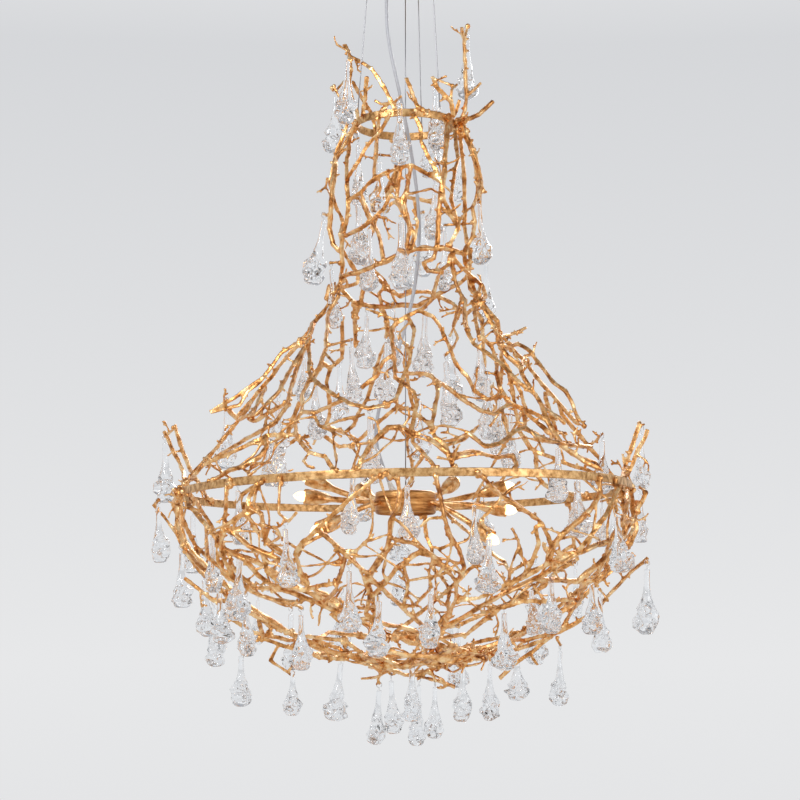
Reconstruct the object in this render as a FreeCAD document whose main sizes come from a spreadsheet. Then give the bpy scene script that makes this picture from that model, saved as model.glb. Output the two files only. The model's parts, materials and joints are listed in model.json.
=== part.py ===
import FreeCAD, Part
import Sketcher
import math
import os
import random

from FreeCAD import Placement, Rotation, Vector

# Branch chandelier with blown glass drops.
# Millimetres, +Z up. The origin is the centre of the ceiling plate's top face, so the piece hangs at -Z.
# The front, the side that the photograph shows, is -Y.

SIZES = {
    # ceiling fitting
    "plate_diameter": 190.0,
    "plate_thickness": 3.0,
    "bolt_circle_diameter": 110.0,
    "bolt_hole_diameter": 5.5,
    "wire_entry_diameter": 20.0,
    "canopy_diameter": 200.0,
    "canopy_height": 48.0,
    "canopy_wall": 2.0,
    "canopy_wire_hole": 10.0,
    "ceiling_gap": 1.0,
    "stud_diameter": 4.0,
    "stud_spacing": 90.0,
    "stud_overrun": 6.0,
    "nut_width": 8.0,
    "nut_height": 5.0,
    "anchor_diameter": 10.0,
    "anchor_length": 20.0,
    "anchor_circle_diameter": 150.0,
    "terminal_length": 30.0,
    "terminal_width": 16.0,
    "terminal_height": 14.0,
    "terminal_offset": 30.0,
    "ceiling_gland_diameter": 16.0,
    "ceiling_gland_length": 12.0,
    "cord_inset": 39.0,
    # wires and cord
    "wire_diameter": 2.0,
    "ferrule_diameter": 6.0,
    "ferrule_length": 12.0,
    "cord_diameter": 7.0,
    # rings
    "crown_ring_drop": 350.0,
    "crown_ring_radius": 102.0,
    "main_ring_drop": 1098.0,
    "main_ring_radius": 450.0,
    "waist_radius": 140.0,
    "bowl_depth": 360.0,
    "band_height": 16.0,
    "band_thickness": 6.0,
    # hub
    "hub_radius": 61.0,
    "hub_height": 44.0,
    "hub_drop": 22.0,
    "hub_wall": 3.0,
    "hub_cover_thickness": 4.0,
    "hub_cover_recess": 6.0,
    "hub_gland_diameter": 15.0,
    "hub_terminal_size": 18.0,
    # lamps
    "arm_radius": 5.5,
    "sleeve_start": 148.0,
    "sleeve_length": 56.0,
    "sleeve_base_radius": 8.0,
    "sleeve_mouth_radius": 14.0,
    "sleeve_wall": 1.8,
    "socket_radius": 8.0,
    "socket_length": 22.0,
    "bulb_radius": 9.5,
    "bulb_length": 26.0,
    # branches
    "trunk_radius": 5.0,
    "branch_radius": 4.1,
    "twig_radius": 3.0,
    "layer_step": 8.0,
    "snap_distance": 14.0,
    "longest_reach": 66.0,
    "weld_gap": 0.05,
    "route_tolerance": 4.6,
    "shortest_run": 11.0,
    # glass drops
    "hook_thickness": 1.2,
    "hook_length": 9.0,
    "hook_gap": 0.4,
    "drop_clearance": 2.5,
    "swing_clearance": 8.0,
    "cord_clearance": 8.0,
    "drop_search_step": 5.0,
    "hanger_overrun": 5.0,
}

# Counts of flats on the bent and cast metal
MAIN_RING_FLATS = 72
CROWN_RING_FLATS = 36
CANOPY_FLATS = 36
HUB_FLATS = 16
TRUNK_SIDES = 4
TWIG_SIDES = 3
SLEEVE_SIDES = 6
ARM_SIDES = 5
GLASS_SIDES = 5
CORD_SIDES = 6
WIRE_SIDES = 6

# The photograph: its lens and where the rings lie in it. A unit here is one pixel at the lamp's axis.
PHOTO_FOCAL_PIXELS = 2144.0
PHOTO_CENTRE_PIXELS = 400.0
PHOTO_AXIS_PIXELS = 405.6
PHOTO_DISTANCE_PIXELS = 2130.0
PHOTO_RING_ABOVE_CAMERA_PIXELS = 167.7
PHOTO_PITCH_DEGREES = 6.956
PHOTO_CROWN_ABOVE_RING_PIXELS = 373.8
PHOTO_WAIST_ABOVE_RING_PIXELS = 205.0
PHOTO_BOWL_BELOW_RING_PIXELS = 180.0
PHOTO_CROWN_RADIUS_PIXELS = 50.9
PHOTO_WAIST_RADIUS_PIXELS = 70.0
PHOTO_RING_RADIUS_PIXELS = 225.0

# Half width of the cage at rows of the photograph, from the crown tips to the bottom of the bowl
PROFILE_PIXELS = [
    (20, 60), (60, 57), (90, 53), (125, 50), (150, 60), (175, 69), (200, 75), (240, 75), (270, 69),
    (290, 68), (310, 80), (340, 100), (380, 132), (420, 165), (450, 188), (475, 212), (492, 224),
    (520, 227), (545, 221), (570, 205), (600, 172), (630, 130), (655, 80), (668, 30), (672, 4),
]

TRUNK = "trunk"
BRANCH = "branch"
TWIG = "twig"

# Branch routes in pixels. Each starts where it grows from a neighbour; a tied one also ends on a neighbour.
# The number is the layer, in or out of the cage's skin, that lets branches pass each other.
CROWN_ROUTES_PIXELS = {
    "left mast": ("near", BRANCH, "tip", 0, [(357, 113), (353, 100), (350, 85), (352, 70), (350, 57), (345, 45)]),
    "left short tip": ("near", TWIG, "tip", 1, [(352, 113), (341, 100), (333, 86)]),
    "front post": ("near", BRANCH, "tip", 0, [(362, 113), (365, 97), (366, 86), (367, 76)]),
    "white arc": ("near", BRANCH, "tip", 0, [(397, 113), (389, 102), (386, 91), (380, 80), (372, 69), (362, 62)]),
    "arc twig": ("near", TWIG, "tip", 1, [(389, 102), (381, 104), (375, 101)]),
    "arc brace": ("near", TWIG, "tied", 0, [(389, 103), (382, 107), (377, 113)]),
    "middle tip": ("near", BRANCH, "tip", 0, [(428, 113), (417, 106), (412, 96), (411, 86), (406, 78)]),
    "right fork": ("near", BRANCH, "tip", 2, [(453, 115), (451, 102), (443, 92), (436, 86), (432, 76)]),
    "right fork spur": ("near", TWIG, "tip", 0, [(451, 100), (452, 90), (457, 84)]),
    "right fork twig": ("near", TWIG, "tip", 2, [(448, 97), (440, 101)]),
    "right mast": ("near", BRANCH, "tip", 0, [(458, 122), (465, 112), (467, 96), (466, 78), (465, 58), (464, 42),
                                              (462, 27)]),
    "mast fork": ("near", TWIG, "tip", 0, [(464, 38), (469, 25)]),
    "mast side": ("near", TWIG, "tip", 1, [(467, 97), (476, 91), (481, 83)]),
    "right reach": ("near", BRANCH, "tip", 1, [(458, 121), (469, 119), (480, 114), (487, 106), (493, 101)]),
    "back left tip": ("far", BRANCH, "tip", 0, [(376, 137), (371, 112), (362, 98), (353, 82)]),
    "back right tip": ("far", BRANCH, "tip", 0, [(447, 134), (456, 112), (460, 100)]),
}

NECK_ROUTES_PIXELS = {
    "left upright": ("near", TRUNK, "tied", 0, [(357, 117), (351, 135), (347, 160), (347, 185), (348, 208),
                                                (343, 228), (341, 248), (343, 265), (341, 282), (337, 299),
                                                (325, 310), (314, 322), (309, 338)]),
    "outer left": ("near", TRUNK, "tied", 1, [(352, 118), (344, 138), (336, 160), (333, 182), (332, 205), (330, 228),
                                              (333, 245), (341, 254)]),
    "outer left twig": ("near", TWIG, "tip", 1, [(333, 196), (326, 188), (328, 177)]),
    "diagonal": ("near", BRANCH, "tied", 1, [(389, 113), (380, 131), (366, 147), (356, 163), (348, 178)]),
    "left centre upright": ("near", BRANCH, "tied", -1, [(381, 113), (378, 133), (376, 150), (374, 165), (374, 178)]),
    "bough": ("near", BRANCH, "tied", 0, [(348, 200), (360, 193), (368, 184), (383, 173), (398, 168), (412, 165),
                                          (424, 172), (433, 178), (442, 182)]),
    "bough twig": ("near", TWIG, "tip", 0, [(385, 172), (391, 180), (397, 190)]),
    "trunk left": ("near", BRANCH, "tied", 0, [(401, 168), (398, 185), (397, 199), (403, 213), (410, 226), (414, 238),
                                               (413, 251)]),
    "trunk right": ("near", BRANCH, "tied", 1, [(411, 166), (407, 185), (405, 203), (409, 222), (410, 240), (407, 254)]),
    "centre loop": ("near", BRANCH, "tied", 1, [(414, 115), (421, 128), (421, 142), (428, 152), (436, 166), (442, 182),
                                                (444, 200), (451, 216), (458, 228), (453, 240), (450, 251)]),
    "right upright": ("near", TRUNK, "tied", 0, [(449, 117), (447, 140), (445, 160), (443, 180), (440, 198), (441, 216),
                                                 (440, 232), (438, 249)]),
    "right outer": ("near", BRANCH, "tied", -1, [(454, 119), (456, 140), (458, 160), (454, 180), (452, 200), (456, 216),
                                                 (459, 229)]),
    "right silhouette": ("near", BRANCH, "tied", 0, [(462, 120), (468, 133), (474, 150), (478, 166), (481, 180),
                                                     (478, 196), (472, 207), (475, 222), (472, 237), (464, 250)]),
    "right low twig": ("near", TWIG, "tip", 0, [(480, 190), (484, 194)]),
    "cross twig": ("near", TWIG, "tied", 1, [(406, 194), (420, 192), (431, 189), (442, 196)]),
    "fork": ("near", BRANCH, "tip", 1, [(344, 236), (356, 231), (366, 226), (375, 217), (384, 209), (391, 194)]),
    "fork side": ("near", TWIG, "tip", 1, [(375, 217), (388, 219)]),
    "inner long": ("near", BRANCH, "tied", 0, [(361, 193), (364, 205), (371, 217), (378, 233), (382, 247), (385, 261)]),
    "middle hook": ("near", TWIG, "tip", 0, [(411, 246), (417, 233), (418, 221), (413, 209)]),
    "right low fork": ("near", BRANCH, "tied", 0, [(439, 247), (434, 258), (424, 263), (428, 271), (438, 272),
                                                   (449, 264), (451, 253)]),
    "back cross": ("far", BRANCH, "tied", 0, [(392, 137), (400, 160), (394, 185), (380, 205), (372, 228), (376, 250)]),
}

WAIST_ROUTES_PIXELS = {
    "front bough": ("near", TRUNK, "tied", 1, [(342, 277), (355, 273), (371, 268), (386, 261), (400, 255), (415, 250),
                                               (430, 249), (443, 248), (453, 252), (464, 256)]),
    "left curl": ("near", BRANCH, "tied", 1, [(343, 277), (334, 267), (325, 268), (328, 277), (338, 284)]),
    "back bough": ("far", TRUNK, "tied", 0, [(343, 290), (353, 302), (368, 306), (386, 307), (402, 304), (418, 306),
                                             (432, 298), (446, 290), (462, 282)]),
    "back bough low": ("far", BRANCH, "tied", 1, [(366, 262), (376, 277), (387, 289), (401, 296), (413, 292),
                                                  (428, 291), (441, 297), (453, 304), (466, 314)]),
    "right knot": ("near", BRANCH, "tied", 1, [(455, 253), (461, 266), (472, 277), (483, 286), (486, 296), (478, 300)]),
    "right rib": ("near", BRANCH, "tied", 0, [(464, 253), (467, 270), (472, 285), (478, 300), (488, 313), (495, 328),
                                              (498, 345)]),
    "right inner rib": ("near", BRANCH, "tied", 0, [(451, 252), (452, 268), (456, 284), (464, 299), (466, 315),
                                                    (465, 331)]),
}

BELL_LEFT_ROUTES_PIXELS = {
    "outer rail": ("near", BRANCH, "tied", 0, [(309, 339), (295, 345), (282, 353), (270, 368), (260, 383), (247, 392),
                                               (239, 406), (224, 418), (211, 427)]),
    "second rail": ("near", BRANCH, "tip", 1, [(263, 378), (252, 384), (238, 394), (224, 402), (210, 413)]),
    "inner rail": ("near", BRANCH, "tip", 1, [(309, 340), (298, 357), (288, 373), (280, 391), (266, 405), (256, 414),
                                              (239, 420)]),
    "long rail": ("near", BRANCH, "tied", 0, [(306, 349), (296, 371), (290, 391), (287, 406), (276, 421), (261, 431),
                                              (243, 440), (225, 449), (206, 462), (195, 474), (184, 486)]),
    "lower rail": ("near", BRANCH, "tied", 1, [(303, 429), (285, 431), (267, 436), (250, 443), (235, 451), (218, 457),
                                               (205, 464)]),
    "thick sweep": ("near", TRUNK, "tied", 0, [(268, 435), (267, 447), (258, 457), (244, 466), (230, 470), (218, 477),
                                               (206, 487)]),
    "sweep twig": ("near", TWIG, "tip", 0, [(241, 468), (249, 475), (256, 470)]),
    "sweep twig high": ("near", TWIG, "tip", 0, [(249, 464), (260, 461), (272, 462)]),
    "long cross": ("near", BRANCH, "tied", 0, [(310, 341), (309, 361), (311, 378), (323, 388), (337, 396), (351, 405),
                                               (369, 409), (385, 406)]),
    "shoulder link": ("near", BRANCH, "tied", 0, [(338, 297), (329, 310), (326, 330), (326, 350), (319, 368),
                                                  (308, 381), (302, 394), (302, 410), (295, 424), (298, 439),
                                                  (309, 452), (326, 457), (334, 468), (338, 477)]),
    "low cross": ("near", BRANCH, "tied", 0, [(303, 411), (316, 412), (329, 407), (341, 400)]),
    "low cross twig": ("near", TWIG, "tip", 0, [(312, 412), (319, 425), (330, 431), (342, 437)]),
    "net": ("near", TWIG, "tied", 0, [(330, 431), (340, 429), (349, 438), (360, 444), (372, 444)]),
    "twig pair": ("near", TWIG, "tip", 1, [(326, 350), (333, 357), (336, 366)]),
    "middle twig": ("near", TWIG, "tip", 0, [(321, 427), (338, 422), (352, 419), (366, 414)]),
    "small curl": ("near", TWIG, "tip", 0, [(309, 452), (304, 461), (308, 467), (315, 468)]),
    "back stem": ("far", BRANCH, "tip", 0, [(354, 303), (355, 320), (355, 345)]),
    "back stem right": ("far", BRANCH, "tip", 0, [(382, 306), (388, 322), (386, 338)]),
}

BELL_RIGHT_ROUTES_PIXELS = {
    "right rail": ("near", TRUNK, "tied", 0, [(498, 344), (508, 357), (520, 367), (525, 380), (533, 392), (541, 404),
                                              (547, 420), (554, 434), (563, 446), (575, 455), (587, 464), (600, 474)]),
    "right inner rail": ("near", BRANCH, "tied", 1, [(465, 329), (474, 345), (488, 356), (503, 366), (517, 380),
                                                     (533, 393)]),
    "rail twig": ("near", TWIG, "tip", 1, [(497, 333), (511, 334), (527, 327)]),
    "rail twig low": ("near", TWIG, "tip", 1, [(518, 365), (524, 357), (535, 355)]),
    "rail spur": ("near", BRANCH, "tip", 1, [(541, 403), (551, 413), (565, 424)]),
    "inner upright": ("near", BRANCH, "tied", -1, [(472, 285), (474, 305), (477, 325), (479, 336), (492, 347),
                                                   (498, 360), (497, 374), (500, 388), (508, 402), (522, 407),
                                                   (536, 414), (548, 424)]),
    "front middle": ("near", BRANCH, "tied", 0, [(439, 272), (436, 285), (432, 299), (420, 311), (433, 316), (440, 326),
                                                 (445, 340), (451, 352), (458, 366), (468, 377), (475, 391),
                                                 (487, 400), (502, 396)]),
    "front left arc": ("near", BRANCH, "tied", 0, [(421, 310), (409, 316), (398, 321), (391, 329), (392, 345),
                                                   (396, 361), (396, 377), (403, 385)]),
    "long arc": ("near", BRANCH, "tied", 1, [(410, 315), (415, 330), (413, 346), (409, 365), (404, 384), (396, 399),
                                             (386, 407)]),
    "middle fork": ("near", BRANCH, "tip", 1, [(393, 352), (382, 362), (377, 376), (361, 388)]),
    "diagonal": ("near", BRANCH, "tied", 0, [(407, 376), (420, 373), (430, 375), (441, 382), (453, 391), (467, 402),
                                             (481, 411), (495, 414), (509, 405)]),
    "diagonal fork": ("near", BRANCH, "tied", 0, [(437, 379), (438, 394), (434, 409), (432, 425), (436, 438),
                                                  (446, 447), (452, 460), (455, 472)]),
    "fork foot": ("near", TWIG, "tip", 0, [(440, 442), (455, 440), (470, 434)]),
    "centre trunk": ("near", BRANCH, "tied", 0, [(404, 384), (413, 392), (417, 404), (417, 417), (412, 430), (413, 442),
                                                 (422, 454), (433, 463), (438, 473)]),
    "trunk side": ("near", BRANCH, "tied", 0, [(418, 414), (427, 422), (433, 433)]),
    "left of trunk": ("near", TRUNK, "tied", 1, [(412, 431), (400, 427), (388, 428), (379, 436), (370, 446),
                                                 (361, 460), (357, 475)]),
    "low bow": ("near", BRANCH, "tied", 1, [(486, 447), (500, 444), (513, 432), (527, 428), (536, 436), (547, 441),
                                            (559, 444)]),
    "bow leg": ("near", TWIG, "tip", 1, [(533, 433), (538, 445), (545, 455)]),
    "bow root": ("near", BRANCH, "tied", 0, [(525, 409), (524, 419), (526, 429)]),
    "thicket": ("near", BRANCH, "tied", 0, [(459, 454), (472, 451), (485, 455), (499, 457), (512, 456), (516, 465),
                                            (511, 474)]),
    "thicket low": ("near", TWIG, "tip", 1, [(484, 455), (465, 458), (449, 460), (436, 457)]),
    "rim bar": ("near", BRANCH, "tip", 1, [(559, 443), (575, 445), (592, 447)]),
    "rim zigzag": ("near", TWIG, "tied", 1, [(575, 454), (590, 453), (594, 462), (602, 470)]),
    "zigzag": ("near", TWIG, "tied", 0, [(462, 296), (459, 311), (453, 327), (458, 338), (451, 351)]),
}

BOWL_LEFT_ROUTES_PIXELS = {
    "left ladder": ("near", BRANCH, "tip", 0, [(184, 488), (183, 472), (178, 456), (170, 446), (164, 431)]),
    "left ladder low": ("near", BRANCH, "tied", 0, [(183, 492), (190, 507), (203, 522), (212, 533), (222, 547)]),
    "left ear": ("near", BRANCH, "tied", 0, [(181, 495), (172, 504), (177, 517), (176, 531), (182, 545), (193, 554),
                                             (199, 566), (211, 575), (225, 582)]),
    "left hook": ("near", TWIG, "tip", 0, [(176, 533), (167, 525), (161, 511), (153, 504)]),
    "left post": ("near", BRANCH, "tied", 1, [(226, 487), (226, 504), (224, 523), (221, 545), (224, 561), (233, 577)]),
    "left bow": ("near", BRANCH, "tied", 0, [(225, 523), (238, 514), (250, 508), (261, 514), (263, 530), (266, 546)]),
    "bow loop": ("near", TWIG, "tied", 0, [(263, 525), (277, 529), (281, 537), (266, 546)]),
    "bow stem": ("near", BRANCH, "tied", 0, [(264, 481), (255, 488), (249, 498), (249, 509)]),
    "spur": ("near", TWIG, "tip", 1, [(277, 481), (277, 497), (279, 512), (288, 521), (297, 512)]),
    "left keel": ("near", TRUNK, "tied", 0, [(224, 524), (236, 535), (248, 547), (262, 553), (278, 559), (292, 568),
                                             (306, 582)]),
    "lower keel": ("near", TRUNK, "tied", 0, [(221, 547), (234, 553), (245, 560), (258, 575), (276, 587), (298, 595),
                                              (318, 603), (338, 613)]),
    "low twig": ("near", BRANCH, "tip", 0, [(234, 606), (213, 600), (197, 588), (184, 578)]),
    "lower rail": ("near", BRANCH, "tied", 0, [(222, 580), (234, 592), (244, 606), (258, 616), (272, 625), (290, 634),
                                               (312, 638), (335, 640)]),
    "weave": ("near", BRANCH, "tied", 1, [(204, 522), (206, 540), (207, 558), (220, 567), (236, 578), (252, 592),
                                          (275, 600), (300, 602)]),
    "belly": ("near", BRANCH, "tied", 0, [(259, 617), (262, 638), (278, 645), (297, 651), (320, 657), (345, 659)]),
    "belly twig": ("near", TWIG, "tip", 0, [(279, 645), (271, 660), (283, 668), (294, 677)]),
    "inner weave": ("near", BRANCH, "tied", 1, [(262, 553), (266, 570), (282, 584), (300, 590), (318, 587), (338, 584)]),
}

BOWL_CENTRE_ROUTES_PIXELS = {
    "front long": ("near", BRANCH, "tied", 0, [(386, 472), (397, 478), (399, 492), (397, 508), (390, 523), (388, 547),
                                               (377, 561), (367, 577), (369, 595), (366, 613), (376, 624)]),
    "left swing": ("near", BRANCH, "tied", 0, [(383, 473), (366, 484), (349, 500), (334, 515), (318, 529), (303, 542),
                                               (296, 555), (300, 572), (308, 583)]),
    "left diagonal": ("near", BRANCH, "tied", 0, [(318, 530), (333, 541), (344, 551), (353, 563), (368, 575),
                                                  (382, 589), (398, 603), (414, 616), (428, 630)]),
    "fork": ("near", TWIG, "tip", 0, [(353, 562), (357, 550), (366, 541), (374, 534)]),
    "fork left": ("near", TWIG, "tip", 0, [(356, 551), (345, 549), (333, 550)]),
    "left stay": ("near", BRANCH, "tied", 1, [(346, 554), (342, 575), (336, 590), (325, 601), (318, 612)]),
    "right of hub": ("near", BRANCH, "tied", 0, [(436, 473), (440, 494), (443, 514), (448, 532), (460, 550), (464, 568),
                                                 (457, 583), (455, 602), (446, 620), (440, 636)]),
    "inner loop": ("near", TWIG, "tip", 0, [(443, 518), (430, 518), (420, 527)]),
    "right bow": ("near", BRANCH, "tied", 0, [(389, 538), (402, 540), (413, 543), (423, 550), (434, 556), (443, 568),
                                              (455, 582)]),
    "left bow": ("near", BRANCH, "tied", 0, [(423, 551), (412, 561), (396, 570), (383, 583), (376, 594), (368, 598)]),
    "inner stem": ("near", TWIG, "tied", 0, [(404, 567), (408, 582), (407, 607)]),
    "inner stem right": ("near", TWIG, "tied", 0, [(434, 557), (429, 572), (430, 590), (413, 606)]),
    "cross bar": ("near", TWIG, "tied", 0, [(408, 582), (425, 577), (446, 574)]),
    "right stub": ("near", TWIG, "tip", 0, [(453, 543), (441, 548), (431, 547)]),
    "front rail": ("near", BRANCH, "tied", 0, [(338, 612), (352, 619), (366, 618), (380, 623), (400, 627), (422, 634),
                                               (442, 638), (466, 634), (484, 622), (500, 608)]),
    "bottom rail": ("near", BRANCH, "tied", 0, [(345, 640), (360, 652), (375, 662), (390, 668), (405, 675), (418, 675),
                                                (432, 668), (448, 660), (470, 654), (488, 650)]),
    "bottom twig": ("near", BRANCH, "tip", 0, [(418, 675), (430, 681), (443, 681), (456, 687)]),
    "bottom left twig": ("near", TWIG, "tip", 0, [(392, 669), (377, 677), (360, 679)]),
    "bottom link": ("near", BRANCH, "tied", 0, [(442, 638), (458, 649), (476, 653), (492, 663)]),
}

BOWL_RIGHT_ROUTES_PIXELS = {
    "sprig": ("near", BRANCH, "tied", 0, [(478, 474), (490, 484), (503, 497), (519, 506), (534, 516), (543, 523),
                                          (549, 537), (553, 550), (547, 564), (532, 574), (514, 582), (497, 589),
                                          (478, 598), (458, 600)]),
    "sprig tip": ("near", TWIG, "tip", 0, [(503, 497), (512, 489), (521, 481)]),
    "sprig low": ("near", TWIG, "tip", 0, [(503, 497), (493, 508), (480, 521)]),
    "drop bar": ("near", BRANCH, "tied", 0, [(543, 522), (536, 528), (538, 543), (532, 560), (522, 577)]),
    "small fan": ("near", TWIG, "tip", 0, [(527, 566), (518, 552), (519, 541), (511, 528)]),
    "strut": ("near", TRUNK, "tied", 0, [(552, 545), (564, 533), (580, 520), (593, 507), (600, 492)]),
    "lower rim": ("near", TRUNK, "tied", 0, [(608, 541), (590, 547), (573, 555), (556, 566), (540, 577), (520, 586),
                                             (500, 596), (482, 606), (466, 616), (448, 626), (430, 638)]),
    "right ladder": ("near", BRANCH, "tip", 0, [(622, 483), (624, 466), (632, 446), (637, 433), (640, 423)]),
    "ladder twig": ("near", TWIG, "tip", 0, [(623, 470), (622, 453)]),
    "right ladder low": ("near", BRANCH, "tied", 1, [(619, 488), (614, 502), (604, 518), (592, 533), (580, 550)]),
    "right post": ("near", BRANCH, "tied", 0, [(627, 487), (628, 503), (622, 520), (614, 535), (607, 548), (604, 563),
                                               (596, 577)]),
    "right ear": ("near", BRANCH, "tip", 0, [(622, 522), (633, 522), (638, 508), (646, 492)]),
    "right keel": ("near", TRUNK, "tied", 0, [(606, 556), (597, 577), (578, 581), (558, 583), (536, 583)]),
    "right reach": ("near", BRANCH, "tip", 0, [(583, 616), (597, 611), (606, 597), (622, 581), (636, 570), (648, 557)]),
    "right hang": ("near", BRANCH, "tied", 1, [(584, 581), (581, 597), (571, 612), (562, 630), (550, 642)]),
    "right low rail": ("near", BRANCH, "tied", 0, [(581, 596), (566, 600), (546, 601), (522, 601), (500, 608),
                                                   (484, 620)]),
    "right belly": ("near", BRANCH, "tied", 0, [(592, 612), (577, 624), (561, 632), (543, 638), (524, 640), (505, 640),
                                                (480, 648)]),
    "belly spur": ("near", BRANCH, "tip", 0, [(548, 638), (533, 648), (519, 659), (508, 668), (499, 678)]),
    "belly twig": ("near", TWIG, "tip", 0, [(528, 652), (532, 658), (538, 665)]),
}

# Which bars have a like one on the far side of the cage, and how far round it lies
BACK_TURN_DEGREES = 176.0
BACK_NECK = ["left upright", "outer left", "bough", "trunk left", "centre loop", "right silhouette"]
BACK_WAIST = ["right knot", "right inner rib"]
BACK_BELL_LEFT = ["outer rail", "inner rail", "long rail", "thick sweep", "long cross", "shoulder link"]
BACK_BELL_RIGHT = ["right rail", "inner upright", "front middle", "long arc", "diagonal", "centre trunk"]
BACK_BOWL_LEFT = ["left ladder", "left ear", "left post", "left keel", "lower keel", "lower rail", "belly"]
BACK_BOWL_CENTRE = ["front long", "left swing", "left diagonal", "right of hub", "front rail"]
BACK_BOWL_RIGHT = ["sprig", "strut", "lower rim", "right ladder", "right post", "right keel", "right belly"]
SIDE_TURNS_DEGREES = (-84.0, 92.0)
SIDE_BELL = ["long arc", "diagonal", "centre trunk"]
SIDE_BOWL = ["front long", "left swing", "left diagonal", "right of hub"]
TIE_PASSES = 3
STEEPEST_TRIM_SHARE = -0.35

# Nest in the bottom of the bowl: bars that wander round the axis
NEST_BARS = 12
NEST_POINTS = 6
NEST_SEED = 11
NEST_ROW_PIXELS = (622, 668)
NEST_SWEEP_DEGREES = (60, 150)

# Glass drops in pixels: side of the cage, neck top, bottom and body width.
CROWN_DROPS_PIXELS = {
    "drop_crown_left": ("near", (347.7, 61), (345, 124), 24),
    "outer left": ("near", (336, 97), (333, 154), 24),
    "crown centre": ("near", (400, 104), (399, 165), 24),
    "drop_crown_front_right": ("near", (435, 86), (436, 151), 21),
    "drop_crown_right": ("near", (467, 35), (467, 100), 23),
    "crown inner left": ("far", (350, 82), (350, 140), 20),
    "crown inner right": ("middle", (431, 122), (428, 178), 21),
}

NECK_DROPS_PIXELS = {
    "right high": ("middle", (458, 140), (459, 202), 15),
    "left high": ("middle", (358, 145), (359, 206), 18),
    "drop_neck_left": ("near", (324, 221), (312, 285), 24),
    "left": ("near", (358, 205), (361, 265), 25),
    "left inner": ("middle", (370, 229), (368, 292), 20),
    "centre": ("near", (401, 223), (402, 290), 27),
    "right inner": ("middle", (435, 185), (433, 240), 21),
    "right": ("near", (478, 204), (481, 265), 23),
    "right low": ("middle", (445, 232), (444, 291), 17),
    "right back": ("middle", (486, 262), (486, 325), 20),
    "left low": ("middle", (331, 270), (335, 329), 18),
}

BELL_DROPS_PIXELS = {
    "left of centre high": ("near", (367, 316), (364, 369), 22),
    "right of centre high": ("near", (425, 315), (423, 378), 25),
    "centre": ("near", (387, 343), (386, 403), 24),
    "left of centre": ("near", (351, 347), (354, 405), 21),
    "right of centre": ("near", (446, 362), (450, 427), 26),
    "cluster high": ("middle", (479, 338), (482, 402), 24),
    "cluster middle": ("near", (487, 380), (487, 440), 24),
    "cluster low": ("near", (500, 400), (500, 456), 26),
    "left high": ("near", (304, 358), (303, 402), 18),
    "left middle": ("near", (315, 379), (317, 440), 22),
    "drop_shoulder_left": ("near", (226.5, 406), (226.5, 469), 23),
    "left low": ("near", (277.5, 401), (278, 455), 23),
    "left inner": ("middle", (279, 430), (279, 487), 24),
    "centre low": ("near", (370, 417), (372, 484), 28),
}

RIM_DROPS_PIXELS = {
    "drop_rim_left_high": ("near", (165, 443), (166, 503), 25),
    "drop_rim_left_low": ("near", (158, 507), (160, 563), 22),
    "centre left": ("near", (353, 476), (349, 535), 25),
    "left inner": ("middle", (238, 490), (240, 545), 22),
    "left": ("near", (285, 529), (288, 588), 24),
    "centre": ("near", (407, 485), (408, 542), 25),
    "right": ("near", (558, 448), (558, 503), 25),
    "right inner high": ("near", (602, 441), (603, 494), 25),
    "drop_rim_right_high": ("near", (641, 434), (642, 489), 20),
    "right low": ("near", (577, 481), (579, 538), 30),
    "drop_rim_right_low": ("near", (640, 494), (641, 543), 20),
    "right side": ("near", (617, 517), (621, 573), 28),
    "right inner": ("middle", (474, 505), (475, 565), 20),
    "centre right": ("near", (489, 539), (487, 594), 28),
    "behind lamp": ("far", (400, 518), (400, 562), 22),
    "right behind": ("middle", (602, 508), (602, 547), 16),
}

BOWL_DROPS_PIXELS = {
    "drop_bowl_left_high": ("near", (181.5, 553), (181.5, 608), 23),
    "left high": ("near", (212, 537), (214, 593), 21),
    "left": ("near", (239.5, 558), (237, 621), 27),
    "left low": ("near", (219, 593), (223, 644), 25),
    "left back": ("far", (204, 580), (208, 637), 22),
    "left lowest": ("middle", (214, 608), (216, 667), 25),
    "left under": ("near", (245, 600), (248, 657), 22),
    "left under back": ("far", (258, 600), (256, 645), 16),
    "left of centre": ("near", (301, 615), (302, 671), 25),
    "centre high": ("near", (349, 571), (350, 633), 24),
    "centre left": ("near", (379, 601), (376, 658), 27),
    "centre right": ("near", (431, 594), (430, 649), 27),
    "right high": ("near", (551, 576), (552, 634), 24),
    "right": ("near", (592, 584), (592, 635), 24),
    "right inner": ("middle", (600, 597), (600, 653), 23),
    "right of centre": ("near", (504, 613), (505, 671), 27),
    "right behind": ("middle", (531, 590), (535, 635), 22),
    "right back": ("far", (575, 569), (577, 619), 16),
    "drop_bowl_right_high": ("near", (647, 569), (646, 635), 27),
    "bottom behind": ("far", (458, 632), (458, 688), 22),
}

BOTTOM_DROPS_PIXELS = {
    "drop_bottom_far_left": ("middle", (241, 656), (241, 707), 25),
    "drop_bottom_left": ("near", (293, 671), (292, 716), 21),
    "left long": ("near", (341, 663), (334, 721), 25),
    "drop_bottom_centre_left": ("middle", (379, 690), (375, 745), 23),
    "inner left": ("near", (391, 681), (394, 734), 22),
    "drop_bottom_centre": ("near", (412, 666), (412, 722), 25),
    "lowest": ("middle", (419, 685), (416, 746), 20),
    "inner right": ("far", (435, 687), (434, 739), 20),
    "drop_bottom_right": ("middle", (463, 664), (461, 722), 20),
    "outer right inner": ("near", (490, 664), (489, 721), 21),
    "far right": ("middle", (560, 651), (559, 706), 20),
    "outer right": ("middle", (517, 655), (517, 701), 26),
}

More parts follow.
